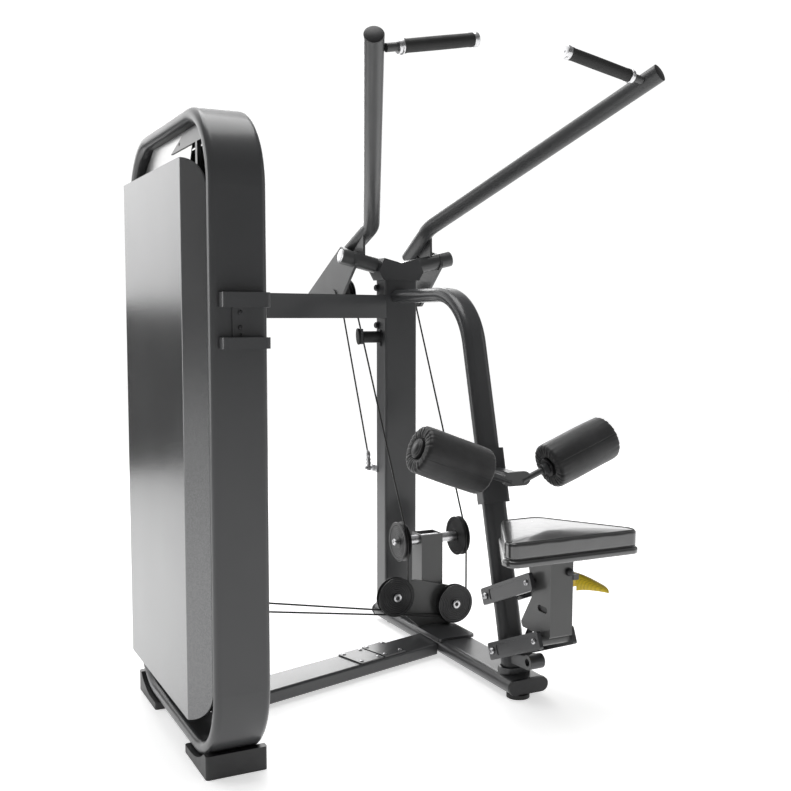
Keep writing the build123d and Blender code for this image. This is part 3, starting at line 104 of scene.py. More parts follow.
def vary(nodes, links, shader, where, dark, light, scale, low=0.35, high=0.65, detail=4.0):
    """Colour that drifts between two tones over the surface."""
    noise = node(nodes, "ShaderNodeTexNoise", Scale=scale, Detail=detail, Roughness=0.6)
    links.new(where, noise.inputs["Vector"])
    tone = ramp(nodes, dark, light, low, high)
    links.new(noise.outputs["Fac"], tone.inputs["Fac"])
    links.new(tone.outputs["Color"], shader.inputs["Base Color"])
    return noise


def map_range(nodes, links, source, taken, given):
    """Node that carries the range of values taken over to the range given."""
    made = nodes.new("ShaderNodeMapRange")
    made.inputs["From Min"].default_value, made.inputs["From Max"].default_value = taken
    made.inputs["To Min"].default_value, made.inputs["To Max"].default_value = given
    links.new(source, made.inputs["Value"])
    return made


def rough_from(nodes, links, shader, where, scale, low, high):
    """Roughness that drifts smoothly between two values."""
    noise = node(nodes, "ShaderNodeTexNoise", Scale=scale, Detail=1.0)
    links.new(where, noise.inputs["Vector"])
    drift = map_range(nodes, links, noise.outputs["Fac"], (0.05, 0.95), (low, high))
    links.new(drift.outputs["Result"], shader.inputs["Roughness"])


def bump_from(nodes, links, shader, source, strength, distance):
    bump = node(nodes, "ShaderNodeBump", Strength=strength, Distance=distance)
    links.new(source, bump.inputs["Height"])
    links.new(bump.outputs["Normal"], shader.inputs["Normal"])
    return bump


def powder_coat(name, dark, light, low=0.30, high=0.42, grain=1500.0, strength=0.12):
    """Baked powder paint: even tone, thin clear gloss and a fine orange peel."""
    mat, nodes, links, shader = material(name)
    where = coords(nodes, links)
    vary(nodes, links, shader, where, dark, light, scale=2.4, low=0.0, high=1.0, detail=1.0)
    rough_from(nodes, links, shader, where, 9.0, low, high)
    peel = node(nodes, "ShaderNodeTexNoise", Scale=grain, Detail=2.0)
    links.new(where, peel.inputs["Vector"])
    bump_from(nodes, links, shader, peel.outputs["Fac"], strength, 0.0004)
    shader.inputs["Coat Weight"].default_value = 0.25
    shader.inputs["Coat Roughness"].default_value = 0.18
    return mat


def lacquer(name, dark, light):
    """Metallic lacquer with fine flakes."""
    mat, nodes, links, shader = material(name)
    where = coords(nodes, links)
    vary(nodes, links, shader, where, dark, light, scale=260.0, low=0.42, high=0.58, detail=2.0)
    rough_from(nodes, links, shader, where, 5.0, 0.20, 0.25)
    shader.inputs["Metallic"].default_value = 0.80
    flake = node(nodes, "ShaderNodeTexNoise", Scale=1800.0, Detail=1.0)
    links.new(where, flake.inputs["Vector"])
    bump_from(nodes, links, shader, flake.outputs["Fac"], 0.08, 0.0003)
    return mat


def steel(name, dark, light, low=0.22, high=0.36, stretch=(1, 1, 40)):
    """Bare metal with fine scratches, its tone drawn out along the stretched axis."""
    mat, nodes, links, shader = material(name)
    where = coords(nodes, links, stretch)
    vary(nodes, links, shader, where, dark, light, 60.0)
    rough_from(nodes, links, shader, where, 90.0, low, high)
    shader.inputs["Metallic"].default_value = 1.0
    scratch = node(nodes, "ShaderNodeTexNoise", Scale=220.0, Detail=2.0)
    links.new(where, scratch.inputs["Vector"])
    bump_from(nodes, links, shader, scratch.outputs["Fac"], 0.10, 0.0002)
    return mat


def plastic(name, dark, light, low=0.36, high=0.5, grain=900.0, strength=0.15):
    """Moulded surface with a fine pebbled texture."""
    mat, nodes, links, shader = material(name)
    where = coords(nodes, links)
    vary(nodes, links, shader, where, dark, light, 20.0)
    rough_from(nodes, links, shader, where, 30.0, low, high)
    texture = node(nodes, "ShaderNodeTexVoronoi", Scale=grain)
    links.new(where, texture.inputs["Vector"])
    bump_from(nodes, links, shader, texture.outputs["Distance"], strength, 0.0004)
    return mat


def leather(name, dark, light, low=0.42, high=0.56, grain=0.35, coat=0.0, coat_ior=1.5):
    """Synthetic leather: pebbled grain over broad soft creases."""
    mat, nodes, links, shader = material(name)
    where = coords(nodes, links)
    vary(nodes, links, shader, where, dark, light, 14.0)
    pebble = node(nodes, "ShaderNodeTexVoronoi", Scale=520.0)
    links.new(where, pebble.inputs["Vector"])
    crease = node(nodes, "ShaderNodeTexNoise", Scale=34.0, Detail=5.0)
    links.new(where, crease.inputs["Vector"])
    first = bump_from(nodes, links, shader, pebble.outputs["Distance"], grain, 0.0006)
    second = node(nodes, "ShaderNodeBump", Strength=0.25, Distance=0.003)
    links.new(crease.outputs["Fac"], second.inputs["Height"])
    links.new(second.outputs["Normal"], first.inputs["Normal"])
    rough_from(nodes, links, shader, where, 40.0, low, high)
    shader.inputs["Coat Weight"].default_value = coat
    shader.inputs["Coat IOR"].default_value = coat_ior
    shader.inputs["Coat Roughness"].default_value = 0.16
    shader.inputs["Sheen Weight"].default_value = 0.15
    return mat


def braid(name, dark, light):
    """Plastic-coated wire rope, with its strands just showing."""
    mat, nodes, links, shader = material(name)
    where = coords(nodes, links)
    vary(nodes, links, shader, where, dark, light, 60.0)
    wave = node(nodes, "ShaderNodeTexWave", Scale=260.0, Distortion=1.0)
    links.new(where, wave.inputs["Vector"])
    bump_from(nodes, links, shader, wave.outputs["Fac"], 0.2, 0.0005)
    shader.inputs["Roughness"].default_value = 0.38
    return mat


PAINT = powder_coat("charcoal_powder_coat", (0.042, 0.043, 0.045), (0.054, 0.055, 0.057), 0.26, 0.36)
PAINT_MID = powder_coat("graphite_powder_coat", (0.066, 0.067, 0.067), (0.082, 0.083, 0.082))
ARM_PAINT = powder_coat("arm_powder_coat", (0.040, 0.041, 0.042), (0.055, 0.056, 0.057), 0.34, 0.46, 800, 0.2)
COVER = lacquer("silver_grey_lacquer", (0.17, 0.171, 0.173), (0.20, 0.201, 0.203))
SHROUD = lacquer("pale_silver_lacquer", (0.55, 0.55, 0.55), (0.62, 0.62, 0.62))
BLACK = plastic("moulded_black_plastic", (0.010, 0.010, 0.011), (0.018, 0.018, 0.019))
NYLON = plastic("turned_black_nylon", (0.012, 0.012, 0.013), (0.020, 0.020, 0.021), 0.30, 0.42, 1500, 0.08)
RUBBER = plastic("black_rubber", (0.008, 0.008, 0.008), (0.014, 0.014, 0.014), 0.5, 0.66, 700.0, 0.3)
STEEL = steel("zinc_plated_steel", (0.52, 0.52, 0.53), (0.68, 0.68, 0.69))
CHROME = steel("hard_chromed_rod", (0.62, 0.62, 0.63), (0.74, 0.74, 0.75), 0.08, 0.16)
ALUMINIUM = steel("turned_aluminium", (0.66, 0.66, 0.67), (0.80, 0.80, 0.81), 0.20, 0.32, (40, 1, 1))
DARK_STEEL = steel("blackened_steel", (0.05, 0.05, 0.052), (0.09, 0.09, 0.092), 0.35, 0.5)
IRON = powder_coat("black_cast_iron", (0.018, 0.018, 0.019), (0.03, 0.03, 0.031), 0.5, 0.65, 220.0, 0.5)
LEATHER = leather("black_synthetic_leather", (0.012, 0.012, 0.0125), (0.022, 0.022, 0.023))
SEAT_LEATHER = leather(
    "seat_synthetic_leather", (0.014, 0.014, 0.0145), (0.022, 0.022, 0.023), 0.26, 0.34,
    grain=0.10, coat=1.0, coat_ior=1.8,
)
PIPING = leather("seam_piping", (0.016, 0.016, 0.017), (0.026, 0.026, 0.027))
WOOD = plastic("stained_plywood", (0.02, 0.018, 0.016), (0.04, 0.036, 0.03), 0.55, 0.7, 300.0, 0.3)
YELLOW = powder_coat("yellow_enamel", (0.62, 0.44, 0.012), (0.74, 0.55, 0.02), 0.25, 0.35, 900.0, 0.08)
CABLE = braid("coated_cable", (0.010, 0.010, 0.010), (0.022, 0.022, 0.022))

BY_SLOT = {
    "frame_paint": PAINT, "cover_paint": COVER, "moulded_black": BLACK, "pulley_black": NYLON,
    "soft_rubber": RUBBER, "plated_steel": STEEL, "dark_steel": DARK_STEEL, "plate_iron": IRON,
    "bright_aluminium": ALUMINIUM, "coated_cable": CABLE, "upholstery": LEATHER, "board": WOOD,
    "yellow_lever": YELLOW,
}
BY_NODE = {
    "left_arm": ARM_PAINT, "right_arm": ARM_PAINT, "guide_rods": CHROME, "upper_shroud": SHROUD,
    "beam_plates": PAINT, "seat_carriage": PAINT_MID, "pulley_bracket": PAINT_MID,
}
for entry in frame["record"]["subparts"]:
    name = entry["node"]
    chosen = BY_NODE.get(name, BY_SLOT[entry["material_slot"]])
    shown = frame["nodes"][name]
    for index in range(len(shown.material_slots)):
        shown.material_slots[index].material = chosen


# ------------------------------------------------------------------ mesh helpers
AXIS_R = 0.00001    # smallest radius of a turned solid's outline, standing for its axis


def hinge(joint):
    """Place of a joint's axis at rest."""
    return tuple(JOINTS[joint]["pos_m"])


def place(made, body, slot):
    if body is not None:
        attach(made, body)


def new_mesh(name, verts, faces, mat, body, slot=None, smooth=True, angle=None):
    """Mesh object with outward normals. Edges sharper than the angle, in degrees, stay sharp."""
    data = bpy.data.meshes.new(name)
    data.from_pydata([tuple(v) for v in verts], [], faces)
    work = bmesh.new()
    work.from_mesh(data)
    bmesh.ops.remove_doubles(work, verts=work.verts, dist=1e-7)
    bmesh.ops.recalc_face_normals(work, faces=work.faces)
    if angle is not None:
        for edge in work.edges:
            edge.smooth = len(edge.link_faces) != 2 or edge.calc_face_angle(0) < math.radians(angle)
    work.to_mesh(data)
    work.free()
    data.polygons.foreach_set("use_smooth", [smooth] * len(data.polygons))
    data.materials.append(mat)
    made = bpy.data.objects.new(name, data)
    SCENE.collection.objects.link(made)
    place(made, body, slot)
    return made


def skin(rings, count):
    """Quads between neighbouring closed rings that have count points each."""
    faces = []
    for ring in range(rings - 1):
        low, high = ring * count, (ring + 1) * count
        for step in range(count):
            ahead = (step + 1) % count
            faces.append([low + step, low + ahead, high + ahead, high + step])
    return faces


def basis(axis):
    """Rotation that turns +Z to the axis."""
    return Vector(Z_AXIS).rotation_difference(Vector(axis).normalized()).to_matrix()


def lathe(name, profile, centre, axis, mat, body, slot=None, steps=72, angle=35, warp=None):
    """Closed ring or solid of revolution. profile is (radius, height) pairs round the outline."""
    turn = basis(axis)
    verts, faces = [], []
    count = len(profile)
    for step in range(steps):
        a = 2 * math.pi * step / steps
        for radius, height in profile:
            if warp is not None:
                radius, height = warp(radius, height, a)
            verts.append(turn @ Vector((radius * math.cos(a), radius * math.sin(a), height)) + Vector(centre))
    for step in range(steps):
        ahead = (step + 1) % steps
        for index in range(count):
            after = (index + 1) % count
            faces.append([
                step * count + index, ahead * count + index, ahead * count + after, step * count + after,
            ])
    made = new_mesh(name, verts, faces, mat, None, None, True, angle)
    clean = bmesh.new()
    clean.from_mesh(made.data)
    bmesh.ops.dissolve_degenerate(clean, dist=1e-7, edges=clean.edges)
    clean.to_mesh(made.data)
    clean.free()
    place(made, body, slot)
    return made


def tube(name, points, radius, mat, body, slot="coated_cable", sides=14):
    """Round bar along a list of points, with flat closed ends."""
    points = [Vector(p) for p in points]
    verts = []
    along = (points[1] - points[0]).normalized()
    side = along.orthogonal().normalized()
    for index, point in enumerate(points):
        before = points[max(index - 1, 0)]
        after = points[min(index + 1, len(points) - 1)]
        tangent = (after - before).normalized()
        side = (side - tangent * side.dot(tangent)).normalized()
        other = tangent.cross(side)
        for step in range(sides):
            a = 2 * math.pi * step / sides
            verts.append(point + side * (radius * math.cos(a)) + other * (radius * math.sin(a)))
    faces = skin(len(points), sides)
    faces.append(list(range(sides)))
    faces.append([(len(points) - 1) * sides + step for step in range(sides)])
    return new_mesh(name, verts, faces, mat, body, slot, True, 50)


def hex_bolt(name, centre, axis, across, height, mat, body, washer=True):
    """Hex head with chamfered corners and a shallow dimple, on a round washer."""
    turn = basis(axis)
    verts = []
    rows = [(0.0, 1.0), (height * 0.82, 1.0), (height, 0.86), (height, 0.4), (height * 0.9, 0.36)]
    corner = across / 2 / math.cos(math.pi / 6)
    for level, share in rows:
        for step in range(6):
            a = math.pi / 3 * step
            reach = corner * share
            verts.append(turn @ Vector((reach * math.cos(a), reach * math.sin(a), level)) + Vector(centre))
    faces = skin(len(rows), 6)
    faces.append([(len(rows) - 1) * 6 + step for step in range(6)])
    faces.append(list(range(6)))
    made = new_mesh(name, verts, faces, mat, body, "plated_steel", False)
    if washer:
        bore, rim = across * 0.3, across * 0.72
        ring = [(bore, -0.0012), (rim, -0.0012), (rim + 0.0006, -0.0004), (rim, 0.0008), (bore, 0.0008)]
        lathe(name + "_washer", ring, centre, axis, mat, body, "plated_steel", 40)
    return made


def cap_screw(name, centre, axis, radius, height, mat, body):
    """Button-head screw with a round socket."""
    profile = [
        (AXIS_R, -0.0005), (radius, -0.0005), (radius, height * 0.35), (radius * 0.86, height * 0.8),
        (radius * 0.55, height), (radius * 0.42, height), (radius * 0.38, height * 0.45),
        (AXIS_R, height * 0.4),
    ]
    return lathe(name, profile, centre, axis, mat, body, "plated_steel", 32)


# ------------------------------------------------------------------ pulleys with turned faces
PULLEY_THICK, PULLEY_BORE, PULLEY_HUB = 0.022, 0.0082, 0.0155
FACE_RINGS = 7
CABLE_R = 0.003
LEVER_R, UPPER_R, LOWER_R, REDIRECT_R, TOP_R = 0.0533, 0.0573, 0.046, 0.0433, 0.045    # to the cable's middle


def pulley(name, body, axis, outer, run):
    """Cable pulley on its joint's axis, with concentric turned ridges on both faces and a rounded groove."""
    half = PULLEY_THICK / 2
    floor = run - CABLE_R - 0.0003
    pitch = (outer * 0.93 - PULLEY_HUB) / FACE_RINGS
    ridges = []
    for index in range(FACE_RINGS):
        near = PULLEY_HUB + pitch * index
        far = near + pitch
        face = half if index in (0, FACE_RINGS - 1) else half - 0.0014
        ridges += [
            (near + 0.0004, face - 0.0004), (near + 0.0012, face),
            (far - 0.0014, face), (far - 0.0006, face - 0.0010),
        ]
    outline = [(PULLEY_BORE, half), (PULLEY_HUB, half)] + ridges
    outline += [(outer - 0.0012, half), (outer, half - 0.0012), (outer, half - 0.0026)]
    outline += [(floor + 0.0045, 0.0046), (floor + 0.0012, 0.0030), (floor, 0.0010)]
    profile = outline + [(radius, -height) for radius, height in reversed(outline)]
    made = lathe(name, profile, hinge(f"{body}_turn"), axis, NYLON, body, "pulley_black", 96, 25)
    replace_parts(made, body)


UPPER_X, UPPER_Y, UPPER_Z = hinge("upper_pulley_right_turn")
LEVER_X, LEVER_Y, LEVER_Z = hinge("right_lever_pulley_turn")
AXLE_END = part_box("cross_axle")[1][0]
for label, sign in SIDES:
    pulley(f"turned_upper_pulley_{label}", f"upper_pulley_{label}", X_AXIS, 0.066, UPPER_R)
    pulley(f"turned_lever_pulley_{label}", f"{label}_lever_pulley", X_AXIS, 0.062, LEVER_R)
    outward = (sign * (AXLE_END + 0.0002), UPPER_Y, UPPER_Z)
    cap_screw(f"upper_pulley_screw_{label}", outward, (sign, 0, 0), 0.0115, 0.006, STEEL, "frame")
for label, sign in SIDES:
    pulley(f"turned_lower_pulley_{label}", f"lower_pulley_{label}", Y_AXIS, 0.065, LOWER_R)
for label, sign in SIDES:
    pulley(f"turned_redirect_pulley_{label}", f"redirect_pulley_{label}", Y_AXIS, 0.052, REDIRECT_R)

# ------------------------------------------------------------------ cables
LEVER_C, UPPER_C = (LEVER_Y, LEVER_Z), (UPPER_Y, UPPER_Z)
TOP_REAR_C, TOP_STACK_C = hinge("top_pulleys_rear_turn")[1:], hinge("top_pulleys_stack_turn")[1:]
ANCHOR_X, ANCHOR_TOP = 0.080, (0.068, 0.606)
DROP_Y = UPPER_Y - UPPER_R
STACK_Y = TOP_STACK_C[0] - TOP_R
STACK_LOW = 0.598


def tangent(centre, radius, point, turn):
    """Touch point on a circle of the line from a point outside it. turn is 1 or -1 for the two sides."""
    dx, dy = point[0] - centre[0], point[1] - centre[1]
    far = math.hypot(dx, dy)
    lean = math.atan2(dy, dx) + turn * math.atan2(math.sqrt(far**2 - radius**2), radius)
    return (centre[0] + radius * math.cos(lean), centre[1] + radius * math.sin(lean))


def under_tangent(first, r1, second, r2):
    """Touch points of the line that passes on one side of both circles."""
    dx, dz = second[0] - first[0], second[1] - first[1]
    lean = math.atan2(dz, dx) - math.acos((r2 - r1) / math.hypot(dx, dz))
    ux, uz = math.cos(lean), math.sin(lean)
    return (first[0] - r1 * ux, first[1] - r1 * uz), (second[0] - r2 * ux, second[1] - r2 * uz)


def angle_at(centre, point):
    return math.atan2(point[1] - centre[1], point[0] - centre[0])


def arc_points(centre, radius, start, end, steps):
    turns = [start + (end - start) * index / steps for index in range(steps + 1)]
    return [(centre[0] + radius * math.cos(turn), centre[1] + radius * math.sin(turn)) for turn in turns]


def straight(p, q, steps):
    p, q = Vector(p), Vector(q)
    return [p.lerp(q, i / steps) for i in range(steps + 1)]


rear_touch = tangent(LEVER_C, LEVER_R, ANCHOR_TOP, 1)
front_top = tangent(LEVER_C, LEVER_R, (DROP_Y, UPPER_Z + 0.020), -1)
front_low = tangent(UPPER_C, UPPER_R, front_top, 1)


def swinging_run(label, kind, foot, top):
    """Cable run from the frame to an arm's pulley, cut into straight spans."""
    foot, top = Vector(foot), Vector(top)
    cuts = [0.0, 0.3, 0.55, 0.78, 1.0]
    made = []
    for index in range(len(cuts) - 1):
        a, b = cuts[index], cuts[index + 1]
        path = straight(foot.lerp(top, a), foot.lerp(top, b), 8)
        span = tube(f"{label}_{kind}_span_{index}", path, CABLE_R, CABLE, None, None)
        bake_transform(span)
        made.append(span)
    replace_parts(made[0], f"{label}_{kind}")


def guided_route(label, x):
    """Upper pulley, drop, lower pulley, run to the tower, redirect pulley, rise, and over the top pulleys."""
    lx, ly, lz = hinge(f"lower_pulley_{label}_turn")
    rx, ry, rz = hinge(f"redirect_pulley_{label}_turn")
    leave, arrive = under_tangent((lx, lz), LOWER_R, (rx, rz), REDIRECT_R)
    leave_turn, arrive_turn = angle_at((lx, lz), leave), angle_at((rx, rz), arrive)
    rise_x, top_z = rx - REDIRECT_R, TOP_STACK_C[1]
    route = [(x, y, z) for y, z in arc_points(UPPER_C, UPPER_R, angle_at(UPPER_C, front_low), math.pi, 10)]
    route += straight((x, DROP_Y, UPPER_Z - 0.01), (x, DROP_Y, lz + 0.004), 8)
    route += [(px, ly, pz) for px, pz in arc_points((lx, lz), LOWER_R, 0.0, leave_turn, 24)]
    route += straight((leave[0], ly, leave[1]), (arrive[0], ry, arrive[1]), 12)[1:]
    route += [(px, ry, pz) for px, pz in arc_points((rx, rz), REDIRECT_R, arrive_turn, -math.pi, 16)][1:]
    route += straight((rise_x, ry, rz + 0.004), (rise_x, ly, top_z - 0.002), 14)
    route += [(rise_x, y, z) for y, z in arc_points(TOP_REAR_C, TOP_R, 0.0, math.pi / 2, 12)]
    route += [(rise_x, y, z) for y, z in arc_points(TOP_STACK_C, TOP_R, math.pi / 2, math.pi, 12)]
    return route


for label, sign in SIDES:
    lever_x, upper_x = sign * LEVER_X, sign * UPPER_X
    swinging_run(label, "anchor_run", (sign * ANCHOR_X, *ANCHOR_TOP), (lever_x, *rear_touch))
    swinging_run(label, "pulley_run", (upper_x, *front_low), (lever_x, *front_top))
    start, end = angle_at(LEVER_C, front_top), angle_at(LEVER_C, rear_touch)
    if end > start:
        end -= 2 * math.pi
    over = [(lever_x, y, z) for y, z in arc_points(LEVER_C, LEVER_R, start, end, 30)]
    tube(f"{label}_lever_wrap", over, CABLE_R, CABLE, f"{label}_arm")
    route = guided_route(label, upper_x)
    fixed = tube(f"{label}_guided_cable", route, CABLE_R, CABLE, "frame")
    stack_x, stack_high = route[-1][0], TOP_STACK_C[1]
    rise = straight((stack_x, STACK_Y, STACK_LOW), (stack_x, STACK_Y, stack_high), 4)
    stack_run = tube(f"{label}_stack_run", rise, CABLE_R, CABLE, "weight_stack")
    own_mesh(stack_run)
    if label == "left":
        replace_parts(fixed, "fixed_cables")
        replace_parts(stack_run, "stack_cables")

# ------------------------------------------------------------------ thigh rollers
TILT = math.radians(20.7)
ROLL_IN = 0.112
ROLL_LONG = 0.212 / math.cos(TILT)
ROD_ROOT_Z = 0.616
ROLL_Y = hinge("left_roller_spin")[1]


def roller_profile():
    """Outline of the padded roller from one hub recess round to the other, as (radius, height)."""
    half = [(0.0125, 0.010), (0.027, 0.009), (0.030, 0.0045), (0.036, 0.0010)]
    half += [(0.046, -0.0012), (0.054, 0.0002)]
    for index in range(7):
        a = math.pi / 2 * index / 6
        half.append((0.0565 + 0.0115 * math.sin(a), 0.0125 - 0.0125 * math.cos(a)))
    half += [(0.0686, 0.022), (0.0690, 0.045), (0.0692, 0.075)]
    other_half = [(radius, ROLL_LONG - height) for radius, height in reversed(half)]
    return half + [(0.0693, ROLL_LONG / 2)] + other_half


def gather(radius, height, a):
    """Small uneven pleats where the cover is drawn in over each end, soft dents and a seam along the body."""
    end = min(height, ROLL_LONG - height)
    if radius > 0.028:
        pull = max(0.0, 1 - abs(radius - 0.050) / 0.020) * (1 if end < 0.012 else 0)
        wave = math.sin(26 * a) + 0.6 * math.sin(17 * a + 1.3) + 0.4 * math.sin(41 * a + 0.4)
        shift = 0.00085 * pull * wave
        height = height - shift if height < ROLL_LONG / 2 else height + shift
        edge = max(0.0, 1 - end / 0.03) if radius > 0.060 else 0.0
        radius = radius + 0.00045 * edge * wave + 0.0004 * math.sin(3 * a + height * 40) * (1 - edge)
        seam = math.exp(-((a - 4.4) / 0.018) ** 2)
        radius -= 0.0012 * seam if radius > 0.060 else 0
    return radius, height


for label, sign in SIDES:
    body = f"{label}_roller"
    inner = Vector((sign * ROLL_IN, ROLL_Y, ROD_ROOT_Z + ROLL_IN * math.tan(TILT)))
    axis = Vector((sign * math.cos(TILT), 0, math.sin(TILT)))
    profile = roller_profile()
    pad = lathe(f"{label}_roller_pad", profile, inner, axis, LEATHER, body, "upholstery", 240, 50, gather)
    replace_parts(pad, body)
    cap = [
        (AXIS_R, 0.0085), (0.0100, 0.0085), (0.0120, 0.0072), (0.0200, 0.0068), (0.0215, 0.0052),
        (0.0262, 0.0048), (0.0282, 0.0028), (0.0285, -0.006), (AXIS_R, -0.006),
    ]
    lathe(f"{label}_roller_hub_cap", cap, inner + axis * ROLL_LONG, axis, BLACK, body, "moulded_black", 64)
    ring = [(0.0108, -0.004), (0.0275, -0.004), (0.0280, 0.004), (0.0265, 0.0055), (0.0108, 0.0055)]
    lathe(f"{label}_roller_hub_ring", ring, inner, -axis, BLACK, body, "moulded_black", 64)


# ------------------------------------------------------------------ seat cushion
HALF, NOSE_HALF, BACK_Y, SHOULDER_Y, NOSE_Y = 0.207, 0.062, -1.089, -1.049, -0.800
MIDDLE = Vector((0, -0.985))
TOP_EDGE_Z, CROWN_RISE = 0.5168, 0.0062
TOP_EDGE_IN = 0.0100
BAND_SEAM_Z = 0.4749


def rounded_outline(corners, radii, steps=9):
    """Outline through corners with a tangent arc at each one, evenly filled along the sides."""
    points = []
    count = len(corners)
    for index in range(count):
        here = Vector(corners[index])
        back = (Vector(corners[index - 1]) - here).normalized()
        ahead = (Vector(corners[(index + 1) % count]) - here).normalized()
        half = back.angle(ahead) / 2
        reach = radii[index] / math.tan(half)
        centre = here + (back + ahead).normalized() * (radii[index] / math.sin(half))
        a, b = here + back * reach - centre, here + ahead * reach - centre
        turn = a.angle_signed(b)
        for step in range(steps + 1):
            t = -turn * step / steps
            cos_t, sin_t = math.cos(t), math.sin(t)
            points.append(centre + Vector((a.x * cos_t - a.y * sin_t, a.x * sin_t + a.y * cos_t)))
    filled = []
    for index, point in enumerate(points):
        after = points[(index + 1) % len(points)]
        gap = (after - point).length
        cuts = max(1, round(gap / 0.008))
        filled += [point.lerp(after, i / cuts) for i in range(cuts)]
    return filled


def cushion_rows():
    """Section of the edge as (outwards, height), from the lip round the board to the rounded top edge."""
    lip = [(-0.0034, 0.4634), (-0.0034, 0.4522), (-0.0006, 0.4512), (0.0032, 0.4520)]
    roll = [(0.0052, 0.4550), (0.0054, 0.4620), (0.0046, 0.4670), (0.0018, 0.4694)]
    seam = [(-0.0030, 0.4704), (-0.0034, 0.4716), (-0.0014, 0.4728)]
    band = [(-0.0006, 0.4800), (-0.0006, 0.497), (-0.0004, 0.506), (-0.0006, 0.5110)]
    top = [(-0.0020, 0.5146), (-0.0050, 0.5166), (-0.0078, 0.5160), (-TOP_EDGE_IN, TOP_EDGE_Z)]
    swaying = range(len(lip + roll + seam), len(lip + roll + seam + band))
    return lip + roll + seam + band + top, swaying


def cushion(name, mat):
    """Upholstered pad that narrows from the back to the nose, with a crowned, slightly dented top."""
    corners = [
        (-HALF, BACK_Y), (HALF, BACK_Y), (HALF, SHOULDER_Y), (NOSE_HALF, NOSE_Y), (-NOSE_HALF, NOSE_Y),
        (-HALF, SHOULDER_Y),
    ]
    outline = rounded_outline(corners, [0.022, 0.022, 0.012, 0.040, 0.040, 0.012])
    count = len(outline)
    normals = []
    for index in range(count):
        side = outline[(index + 1) % count] - outline[index - 1]
        normals.append(Vector((side.y, -side.x)).normalized())
    rows, swaying = cushion_rows()
    verts = []
    for level, (out, z) in enumerate(rows):
        for index in range(count):
            point, normal = outline[index] + normals[index] * out, normals[index]
            sway = 0.0004 * math.sin(index * 0.55) if level in swaying else 0.0
            verts.append((point.x + normal.x * sway, point.y + normal.y * sway, z))
    shares = [0.94, 0.86, 0.74, 0.60, 0.45, 0.30, 0.15]
    rim = [outline[i] - normals[i] * TOP_EDGE_IN for i in range(count)]
    for share in shares:
        crown = TOP_EDGE_Z + CROWN_RISE * (1 - share**2.2)
        for index in range(count):
            point = MIDDLE + (rim[index] - MIDDLE) * share
            dip = 0.0012 * math.sin(9 * point.x + 2) * math.sin(17 * point.y)
            verts.append((point.x, point.y, crown + dip * (1 - share)))
    total = len(rows) + len(shares)
    faces = skin(total, count)
    verts.append((MIDDLE.x, MIDDLE.y, TOP_EDGE_Z + CROWN_RISE))
    last, centre = (total - 1) * count, len(verts) - 1
    faces += [[last + index, last + (index + 1) % count, centre] for index in range(count)]
    faces.append(list(range(count)))
    return new_mesh(name, verts, faces, mat, None, None, True, 60), outline, normals


def stitches(outline, normals):
    """Row of short raised stitches round the seam of the cushion's band, as vertices and faces."""
    low, high = BAND_SEAM_Z - 0.0004, BAND_SEAM_Z + 0.0004
    section = [(0.0005, low), (0.0005, high), (-0.0006, high), (-0.0006, low)]
    verts, faces = [], []
    for index, (point, normal) in enumerate(zip(outline, normals)):
        after = outline[(index + 1) % len(outline)]
        base = len(verts)
        for share in (0.2, 0.75):
            end = point.lerp(after, share) - normal * 0.0009
            verts += [(end.x + normal.x * out, end.y + normal.y * out, z) for out, z in section]
        faces += [[base + i, base + (i + 1) % 4, base + 4 + (i + 1) % 4, base + 4 + i] for i in range(4)]
        faces += [[base, base + 1, base + 2, base + 3], [base + 7, base + 6, base + 5, base + 4]]
    return verts, faces


seat, OUTLINE, NORMALS = cushion("seat_pad", SEAT_LEATHER)
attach(seat, "seat")
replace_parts(seat, "seat_cushion")
welt_path = [(p.x - n.x * 0.0062, p.y - n.y * 0.0062, 0.5164) for p, n in zip(OUTLINE, NORMALS)]
tube("seat_top_welt", welt_path + welt_path[:2], 0.0017, PIPING, "seat", "upholstery", 8)
new_mesh("seat_band_stitches", *stitches(OUTLINE, NORMALS), PIPING, "seat", "upholstery", False)

# ------------------------------------------------------------------ handles
GRIP_IN, GRIP_TIP = Vector((0.427, -0.795, 1.812)), Vector((0.147, -0.795, 1.866))
HANDLE = (GRIP_TIP - GRIP_IN).length
SLEEVE_IN, SLEEVE_TIP = 0.050, HANDLE - 0.016
RIBS = 46
HUB_LEAN = math.radians(13)
HUB_MIDDLE, HUB_REACH = Vector((0, 0, 1.264)), 0.2202
ARM_BEND, ARM_TOP = Vector((0.112, -0.033, 1.416)), Vector((0.474, -0.822, 1.834))


def sleeve_profile():
    """Ribbed rubber sleeve with a raised band at both ends, as (radius, height) along the handle."""
    low, high = SLEEVE_IN, SLEEVE_TIP
    profile = [(0.0121, low), (0.0178, low), (0.0192, low + 0.0014), (0.0194, low + 0.008)]
    profile.append((0.0186, low + 0.012))
    ribbed = high - low - 0.024
    for index in range(RIBS):
        swell = 0.0004 * math.sin(math.pi * index / RIBS)
        groove = 0.00022 if index % 2 else 0.0
        profile.append((0.0186 + swell - groove, low + 0.012 + ribbed * (index + 1) / (RIBS + 1)))
    profile += [(0.0186, high - 0.012), (0.0194, high - 0.008), (0.0192, high - 0.0014), (0.0178, high)]
    return profile + [(0.0121, high)]


def mirrored(point, sign):
    return Vector((sign * point.x, point.y, point.z))


